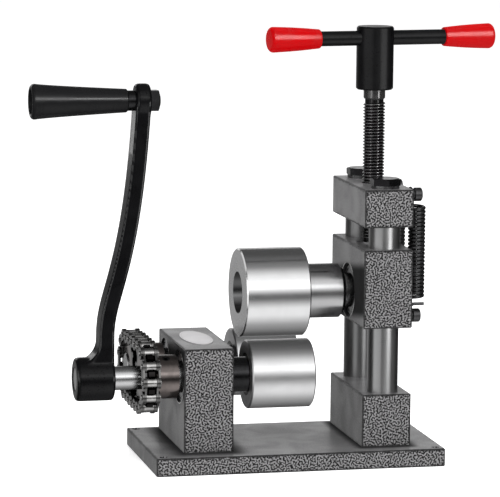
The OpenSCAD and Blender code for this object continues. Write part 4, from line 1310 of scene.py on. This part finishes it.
@dataclass
class PressScrew:
    """The screw with its true thread, and the T handle on it."""

    screw_d: float = 18 * MM
    pitch: float = 2.5 * MM
    thread_depth: float = 1.5 * MM
    crest: float = 0.3 * MM
    crest_play: float = 0.05 * MM
    flank_share: float = 0.47
    toe: float = 0.12 * MM
    sunk: float = 0.2 * MM
    run_in: float = 0.6 * MM
    nose_d: float = 12 * MM
    nose_l: float = 8 * MM
    plain_d: float = 17.5 * MM
    plain_l: float = 7 * MM
    tenon_l: float = 24 * MM
    shoulder_in: float = 0.3 * MM
    rounding: float = 0.4 * MM
    root_dark: float = 0.6 * MM
    crest_pale: float = 0.2 * MM
    steps: int = 40
    bar_angle: float = 8.0
    bar_shift: float = 5.75 * MM
    bar_reach: float = 97 * MM
    bar_d: float = 12.02 * MM
    grip_l: float = 42.8 * MM
    grip_d: float = 20.5 * MM
    grip_neck_d: float = 15.5 * MM
    grip_wall: float = 5 * MM
    grip_end_r: float = 3.2 * MM
    grip_lip: float = 0.7 * MM
    grip_swell: float = 0.35 * MM
    grip_steps: int = 15

    def _wind(self, bm: bmesh.types.BMesh, base: Vector, start: float, end: float) -> None:
        """Wind the thread, one section carried round the core.

        Args:
            bm: The mesh that the thread is added to.
            base: The foot of the screw's line.
            start: The height where the thread starts.
            end: The height that it stays under.
        """
        core, tip = self.screw_d / 2 - self.thread_depth, self.screw_d / 2 - self.crest_play
        foot, root, flank = core - self.sunk, core + self.crest_play, self.pitch * self.flank_share
        below = [(foot, -flank), (root, self.toe - flank), (tip, -self.crest / 2)]
        section = below + [(radius, -height) for radius, height in reversed(below)]
        middle = base + UP * (start + flank)
        points = [bm.verts.new(middle + Vector((radius, 0, height))) for radius, height in section]
        ring = [bm.edges.new(pair) for pair in zip(points, points[1:] + points[:1])]
        turns = int((end - start - self.pitch) / self.pitch)
        wound = bmesh.ops.spin(
            bm, geom=points + ring, cent=base, axis=UP, angle=2 * math.pi * turns,
            steps=turns * self.steps, dvec=UP * (self.pitch / self.steps),
        )
        for end_ring in (ring, only(bmesh.types.BMEdge, wound["geom_last"])):
            bmesh.ops.edgeloop_fill(bm, edges=end_ring)

    def build_screw(self) -> None:
        """Turn the screw's core, and wind the thread round it."""
        place = joint_place("screw_turn")
        base = Vector((place.x, place.y, 0))
        low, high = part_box("lead_screw")
        bottom, hub = low.z + self.nose_l, high.z - self.tenon_l
        shoulder = hub - self.plain_l
        core, nose, plain = self.screw_d / 2 - self.thread_depth, self.nose_d / 2, self.plain_d / 2
        bm = bmesh.new()
        profile = [(0, low.z), (nose - MM, low.z), (nose, low.z + MM), (nose, bottom), (core, bottom)]
        profile += [(core, shoulder - MM), (plain - self.shoulder_in, shoulder)]
        profile += [(plain, shoulder + self.rounding), (plain, hub), (nose, hub), (nose, high.z), (0, high.z)]
        turned(bm, profile, base, UP)
        self._wind(bm, base, bottom + self.run_in, shoulder - self.rounding)
        bmesh.ops.recalc_face_normals(bm, faces=bm.faces)
        steel = ThreadSteel(base, core + self.root_dark, self.screw_d / 2 - self.crest_pale, shoulder - MM)
        settle(piece_from(bm, "press_screw", steel.material("press_screw"), sharp=25.0),
               Body.SCREW, "lead_screw")

    def build_grips(self) -> None:
        """Mould the two red grips on the ends of the bar."""
        place = joint_place("screw_turn")
        low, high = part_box("handle_bar")
        along = Matrix.Rotation(math.radians(self.bar_angle), 3, "Z") @ ALONG_X
        middle = Vector((place.x, place.y, (low.z + high.z) / 2)) + along * self.bar_shift
        r0, r1, c, lip = self.grip_neck_d / 2, self.grip_d / 2, self.grip_end_r, self.grip_lip
        end, bore = self.bar_reach, self.bar_d / 2
        inner, floor = end - self.grip_l, end - self.grip_wall
        profile = [(bore, floor), (bore, inner), (r0 - lip, inner)]
        profile += arc((r0 - lip, inner + lip), lip, -90, 0, 4)
        for i in range(1, self.grip_steps):
            share = i / self.grip_steps
            radius = r0 + (r1 - r0) * share + self.grip_swell * math.sin(math.pi * share)
            profile.append((radius, inner + lip + (end - c - inner - lip) * share))
        profile += arc((r1 - c, end - c), c, 0, 90, 8) + [(0, end), (0, floor), (bore, floor)]
        bm = bmesh.new()
        for direction in (along, -along):
            turned(bm, profile, middle, direction, 72)
        grips = piece_from(bm, "handle_grip_mouldings", RED_PLASTIC.material("handle_grips"))
        grips.visible_glossy = False
        settle(grips, Body.SCREW, "handle_grips")

    def build(self) -> None:
        """Make the screw and the grips and enamel the handle."""
        self.build_screw()
        self.build_grips()
        dress(HANDLE_ENAMEL.material("handle"), "handle_hub", "handle_bar")
        dress(BLACK_OXIDE.material("hub_pin"), "hub_pin")


@dataclass
class LiftSprings:
    """The two springs that lift the slide, each one wire with a hook at both ends."""

    outer_d: float = 13.8 * MM
    wire_d: float = 2.6 * MM
    coil_d: float = 3 * MM
    curls: int = 24
    curl_steps: int = 28
    post_d: float = 6.5 * MM
    post_neck: float = 6.4 * MM
    hook_play: float = 0.5 * MM
    lower_hook: float = 15 * MM
    upper_hook: float = 9.1 * MM
    tail_rise: float = 10 * MM
    tail_bend: float = 3 * MM
    tail_l: float = 8 * MM

    def _spring(self, name: str, y: float, face: float, low: float, high: float) -> bpy.types.Object:
        """Bend one spring.

        Args:
            name: The piece's name.
            y: The spring's place across the blocks.
            face: The blocks' right face.
            low: The height of the lower post.
            high: The height of the upper post.

        Returns:
            The spring, still without a body.
        """
        radius = (self.outer_d - self.wire_d) / 2
        hook = (self.post_d + self.wire_d) / 2 + self.hook_play
        x = face + self.post_neck / 2
        bottom, top = low + self.lower_hook, high - self.upper_hook
        wire = Wire(self.coil_d / 2)
        wire.begin(Vector((x, y, bottom)), -ALONG_Y)
        first = list(wire.end)
        steps, rise = self.curls * self.curl_steps, UP * (top - bottom)
        wire.turn(Vector((x + radius, y, 0)), UP, 360.0 * self.curls, steps, rise)
        wire.thin(self.wire_d / self.coil_d)
        wire.turn(Vector((x, y, top + hook)), ALONG_X, -90, 10)
        wire.run(UP * (self.upper_hook - hook))
        wire.turn(Vector((x, y, high)), ALONG_X, -225, 22)
        wire.cap()
        wire.end = first
        wire.thin(self.wire_d / self.coil_d)
        wire.turn(Vector((x, y, bottom - hook)), ALONG_X, -90, 10)
        wire.run(-UP * (self.lower_hook - hook))
        wire.turn(Vector((x, y, low)), ALONG_X, -180, 20)
        tail = self.tail_rise - self.tail_bend
        wire.run(UP * tail)
        wire.turn(Vector((x + self.tail_bend, y - hook, low + tail)), ALONG_Y, 90, 8)
        wire.run(ALONG_X * self.tail_l)
        wire.cap()
        bmesh.ops.remove_doubles(wire.bm, verts=wire.bm.verts, dist=1e-7)
        bmesh.ops.recalc_face_normals(wire.bm, faces=wire.bm.faces)
        return piece_from(wire.bm, name, SPRING_STEEL.material(name))

    def build(self) -> None:
        """Make both springs between the top block and the slide."""
        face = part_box("slide_block")[1].x
        lower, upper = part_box("lower_spring_posts"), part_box("upper_spring_posts")
        low, high = (lower[0].z + lower[1].z) / 2, (upper[0].z + upper[1].z) / 2
        head = (lower[1].z - lower[0].z) / 2
        for node, y in (("front_spring", lower[0].y + head), ("rear_spring", lower[1].y - head)):
            spring = self._spring(f"{node}_wire", y, face, low, high)
            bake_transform(spring)
            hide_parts(node)


class Reach(Enum):
    """What a lamp lights."""

    SCENE = "scene"
    MACHINE = "machine"
    GLEAM = "gleam"


@dataclass(frozen=True)
class Lamp:
    """A rectangular lamp that faces the machine, or the gleam of one on a few pieces alone."""

    name: str
    place: tuple[float, float, float]
    size: tuple[float, float]
    radiance: float
    pieces: tuple[str, ...] = ()
    reach: Reach = Reach.GLEAM


@dataclass
class Studio:
    """The floor, the soft light and the camera at the photograph's place."""

    azimuth: float = -12.912
    elevation: float = 8.061
    roll: float = 0.553
    offset: tuple[float, float] = (28.761 * MM, -19.446 * MM)
    distance: float = 2516.849 * MM
    target: tuple[float, float, float] = (0.0, 0.0, 0.15)
    lens: float = 225.162
    fill: float = 0.55
    backdrop: float = 1.0
    softbox: float = 2.6
    reflected: tuple[tuple[float, float], ...] = (
        (-180, 0.1), (-175, 0.4), (-160, 0.4), (-150, 0.1),  # a low light behind
        (-130, 0.1), (-85, 0.5), (-55, 1.25), (-35, 1.25),  # the pale bench
        (-10, 0.15), (0, 0.15),  # the dark gap
        (15, 1.4), (20, 2.6), (30, 2.6), (35, 1.5), (50, 1.3),  # the softbox
        (75, 0.3), (120, 0.1),  # the dark room above
    )
    strip: tuple[float, float] = (-1.5, -0.55)
    strip_fade: float = 0.15
    strip_grey: float = 0.58
    high_grey: float = 0.75
    lamps: tuple[Lamp, ...] = (
        Lamp("key", (-1.0, -1.5, 2.0), (1.6, 1.6), 4.7249, reach=Reach.SCENE),
        Lamp("top", (0.2, 0.3, 2.4), (1.8, 1.8), 2.9473, reach=Reach.SCENE),
        Lamp("side", (1.9, -1.3, 1.1), (1.4, 1.4), 2.5985, reach=Reach.SCENE),
        Lamp("back", (0.5, 2.0, 1.3), (1.8, 1.8), 2.9473, reach=Reach.MACHINE),
        Lamp("grip_light", (0.1, -2.2, 1.25), (3.2, 0.36), 42.0, ("crank_grip_moulding",)),
        Lamp("red_light", (0.1, -2.2, 1.4), (4.0, 1.7), 38.0, ("handle_grip_mouldings",)),
        Lamp("column_light", (0.305, -0.45, 0.13), (0.2, 0.26), 2.2, ("front_column", "rear_column")),
        Lamp("hub_light", (0.62, -0.595, 0.22), (0.6, 0.3), 2.2, ("handle_hub",)),
        Lamp("rim_light", (-0.83, 0.2, 0.74), (1.9, 1.6), 0.6, ("upper_roller",)),
        Lamp("screw_left", (-0.52, -0.534, 0.16), (0.1, 0.5), 4.0, ("press_screw",)),
        Lamp("screw_right", (0.509, -0.667, 0.16), (0.12, 0.5), 9.0, ("press_screw",)),
        Lamp("crank_back", (-0.5, 2.4, 0.85), (1.2, 1.0), 1.4, ("crank_forging", "crank_grip_moulding")),
        Lamp("crank_streak", (-0.229, 0.27, 0.245), (0.1, 0.04), 1.5, ("crank_forging",)),
        Lamp("crank_left", (-0.606, -0.4, 0.12), (0.18, 0.24), 6.0, ("crank_forging",)),
        Lamp("crank_edge", (-0.742, 0.145, 0.12), (0.2, 0.24), 9.0, ("crank_forging",)),
        Lamp("crank_right", (0.3, -0.386, 0.12), (0.3, 0.24), 8.0, ("crank_forging",)),
    )

    def _sky(self, g: Graph) -> Socket:
        """Paint what polished faces reflect: a softbox, a dark gap, a pale bench and a strip on the left.

        Args:
            g: The world's graph.

        Returns:
            The grey that is seen in each direction.
        """
        x, y, z = g.split(g.node("TexCoord").outputs["Generated"])
        ahead = g.times(y, -1.0)
        share = g.plus(g.math("DIVIDE", g.math("ARCTAN2", z, ahead), 2 * math.pi), 0.5)
        stops = [(degrees / 360 + 0.5, grey / self.softbox) for degrees, grey in self.reflected]
        high_up = g.times(g.span(z, 0.05, 0.13), g.span(z, 0.25, 0.4, 1.0, 0.0))
        high_behind = g.times(g.times(high_up, g.span(y, 0.85, 0.95)), self.high_grey)
        bands = g.plus(g.times(g.ramp(share, stops), self.softbox), high_behind)
        middle = g.times(g.span(x, -0.3, 0.02, 0.3, 1.0), g.span(x, 0.42, 0.7, 1.0, 0.1))
        seen = g.times(bands, g.math("MAXIMUM", middle, g.span(y, 0.75, 0.9)))
        heading = g.math("ARCTAN2", x, ahead)
        left, right = self.strip
        strip = g.times(
            g.span(heading, left - self.strip_fade, left),
            g.span(heading, right, right + self.strip_fade, 1.0, 0.0),
        )
        level = g.times(g.span(z, -0.45, -0.25), g.span(z, 0.6, 0.8, 1.0, 0.0))
        return g.plus(seen, g.times(g.times(strip, level), self.strip_grey))

    def _hang(self, lamp: Lamp) -> None:
        """Hang a lamp and choose what it lights.

        Args:
            lamp: The lamp.
        """
        data = bpy.data.lights.new(lamp.name, "AREA")
        data.shape, data.size, data.size_y = "RECTANGLE", *lamp.size
        data.energy = lamp.radiance * math.pi * lamp.size[0] * lamp.size[1]
        made = bpy.data.objects.new(lamp.name, data)
        bpy.context.scene.collection.objects.link(made)
        made.location = lamp.place
        made.rotation_euler = (Vector(self.target) - Vector(lamp.place)).to_track_quat("-Z", "Y").to_euler()
        made.visible_camera = False
        made.visible_diffuse = lamp.reach is not Reach.GLEAM
        made.visible_glossy = lamp.reach is Reach.GLEAM
        if lamp.reach is Reach.SCENE:
            return
        pieces = [frame["nodes"].get(name) or bpy.data.objects[name] for name in lamp.pieces]
        if lamp.reach is Reach.MACHINE:
            pieces = [piece for piece in bpy.data.objects if piece.type == "MESH" and piece.name != "floor"]
        lit = bpy.data.collections.new(lamp.name)
        for piece in pieces:
            lit.objects.link(piece)
        made.light_linking.receiver_collection = lit

    def hang_lamps(self) -> None:
        """Hang every lamp, once the pieces that they light are made."""
        for lamp in self.lamps:
            self._hang(lamp)

    def set_light(self) -> None:
        """Give the world an even fill, what reflections see, and a white backdrop."""
        world = bpy.data.worlds.new("studio")
        bpy.context.scene.world = world
        world.use_nodes = True
        world.cycles.sampling_method = "NONE"
        g = Graph(world.node_tree)
        path = g.node("LightPath").outputs
        seen = g.mix(path["Is Glossy Ray"], [self.fill] * 3, self._sky(g))
        seen = g.mix(path["Is Camera Ray"], seen, [self.backdrop] * 3)
        g.feed(world.node_tree.nodes["Background"].inputs["Color"], seen)

    def lay_floor(self) -> None:
        """Lay a pale floor under the machine."""
        bm = bmesh.new()
        bmesh.ops.create_grid(bm, x_segments=1, y_segments=1, size=15.0)
        floor = helper_from(bm, "floor")
        made, g, shader = start_material(
            "pale_floor", Roughness=0.9, Specular_IOR_Level=0.1, Emission_Strength=0.5
        )
        tone = g.noise(g.place(), 3.0, detail=2.0)
        g.feed(shader["Base Color"], g.mix(tone, (0.9, 0.9, 0.905), (0.93, 0.93, 0.93)))
        g.feed(shader["Emission Color"], (1.0, 1.0, 1.0))
        floor.data.materials.append(made)
        floor.visible_glossy = False

    def set_camera(self) -> None:
        """Set the camera where the photograph was taken from."""
        az, el, roll = (math.radians(value) for value in (self.azimuth, self.elevation, self.roll))
        back = Vector((math.sin(az) * math.cos(el), -math.cos(az) * math.cos(el), math.sin(el)))
        level = Vector((math.cos(az), math.sin(az), 0.0))
        upright = back.cross(level)
        right = math.cos(roll) * level + math.sin(roll) * upright
        up = math.cos(roll) * upright - math.sin(roll) * level
        data = bpy.data.cameras.new("camera")
        data.sensor_width, data.lens = 36.0, self.lens
        data.clip_start, data.clip_end = 0.05, 60.0
        camera = bpy.data.objects.new("camera", data)
        bpy.context.scene.collection.objects.link(camera)
        place = Vector(self.target) + back * self.distance - right * self.offset[0] - up * self.offset[1]
        camera.matrix_world = Matrix.Translation(place) @ Matrix((right, up, back)).transposed().to_4x4()
        bpy.context.scene.camera = camera

    def build(self) -> None:
        """Set up the camera, the floor and the world."""
        self.set_camera()
        self.lay_floor()
        self.set_light()
        bpy.context.scene.view_settings.view_transform = "Standard"


def main() -> None:
    """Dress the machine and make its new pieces."""
    logging.basicConfig(level=logging.INFO, format="%(message)s")
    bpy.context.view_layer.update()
    studio = Studio()
    studio.build()
    for assembly in (Blocks(), Columns(), Rollers(), ChainDrive()):
        assembly.dress()
    for assembly in (Crank(), PressScrew(), LiftSprings()):
        assembly.build()
    studio.hang_lamps()


if __name__ == "__main__":
    main()
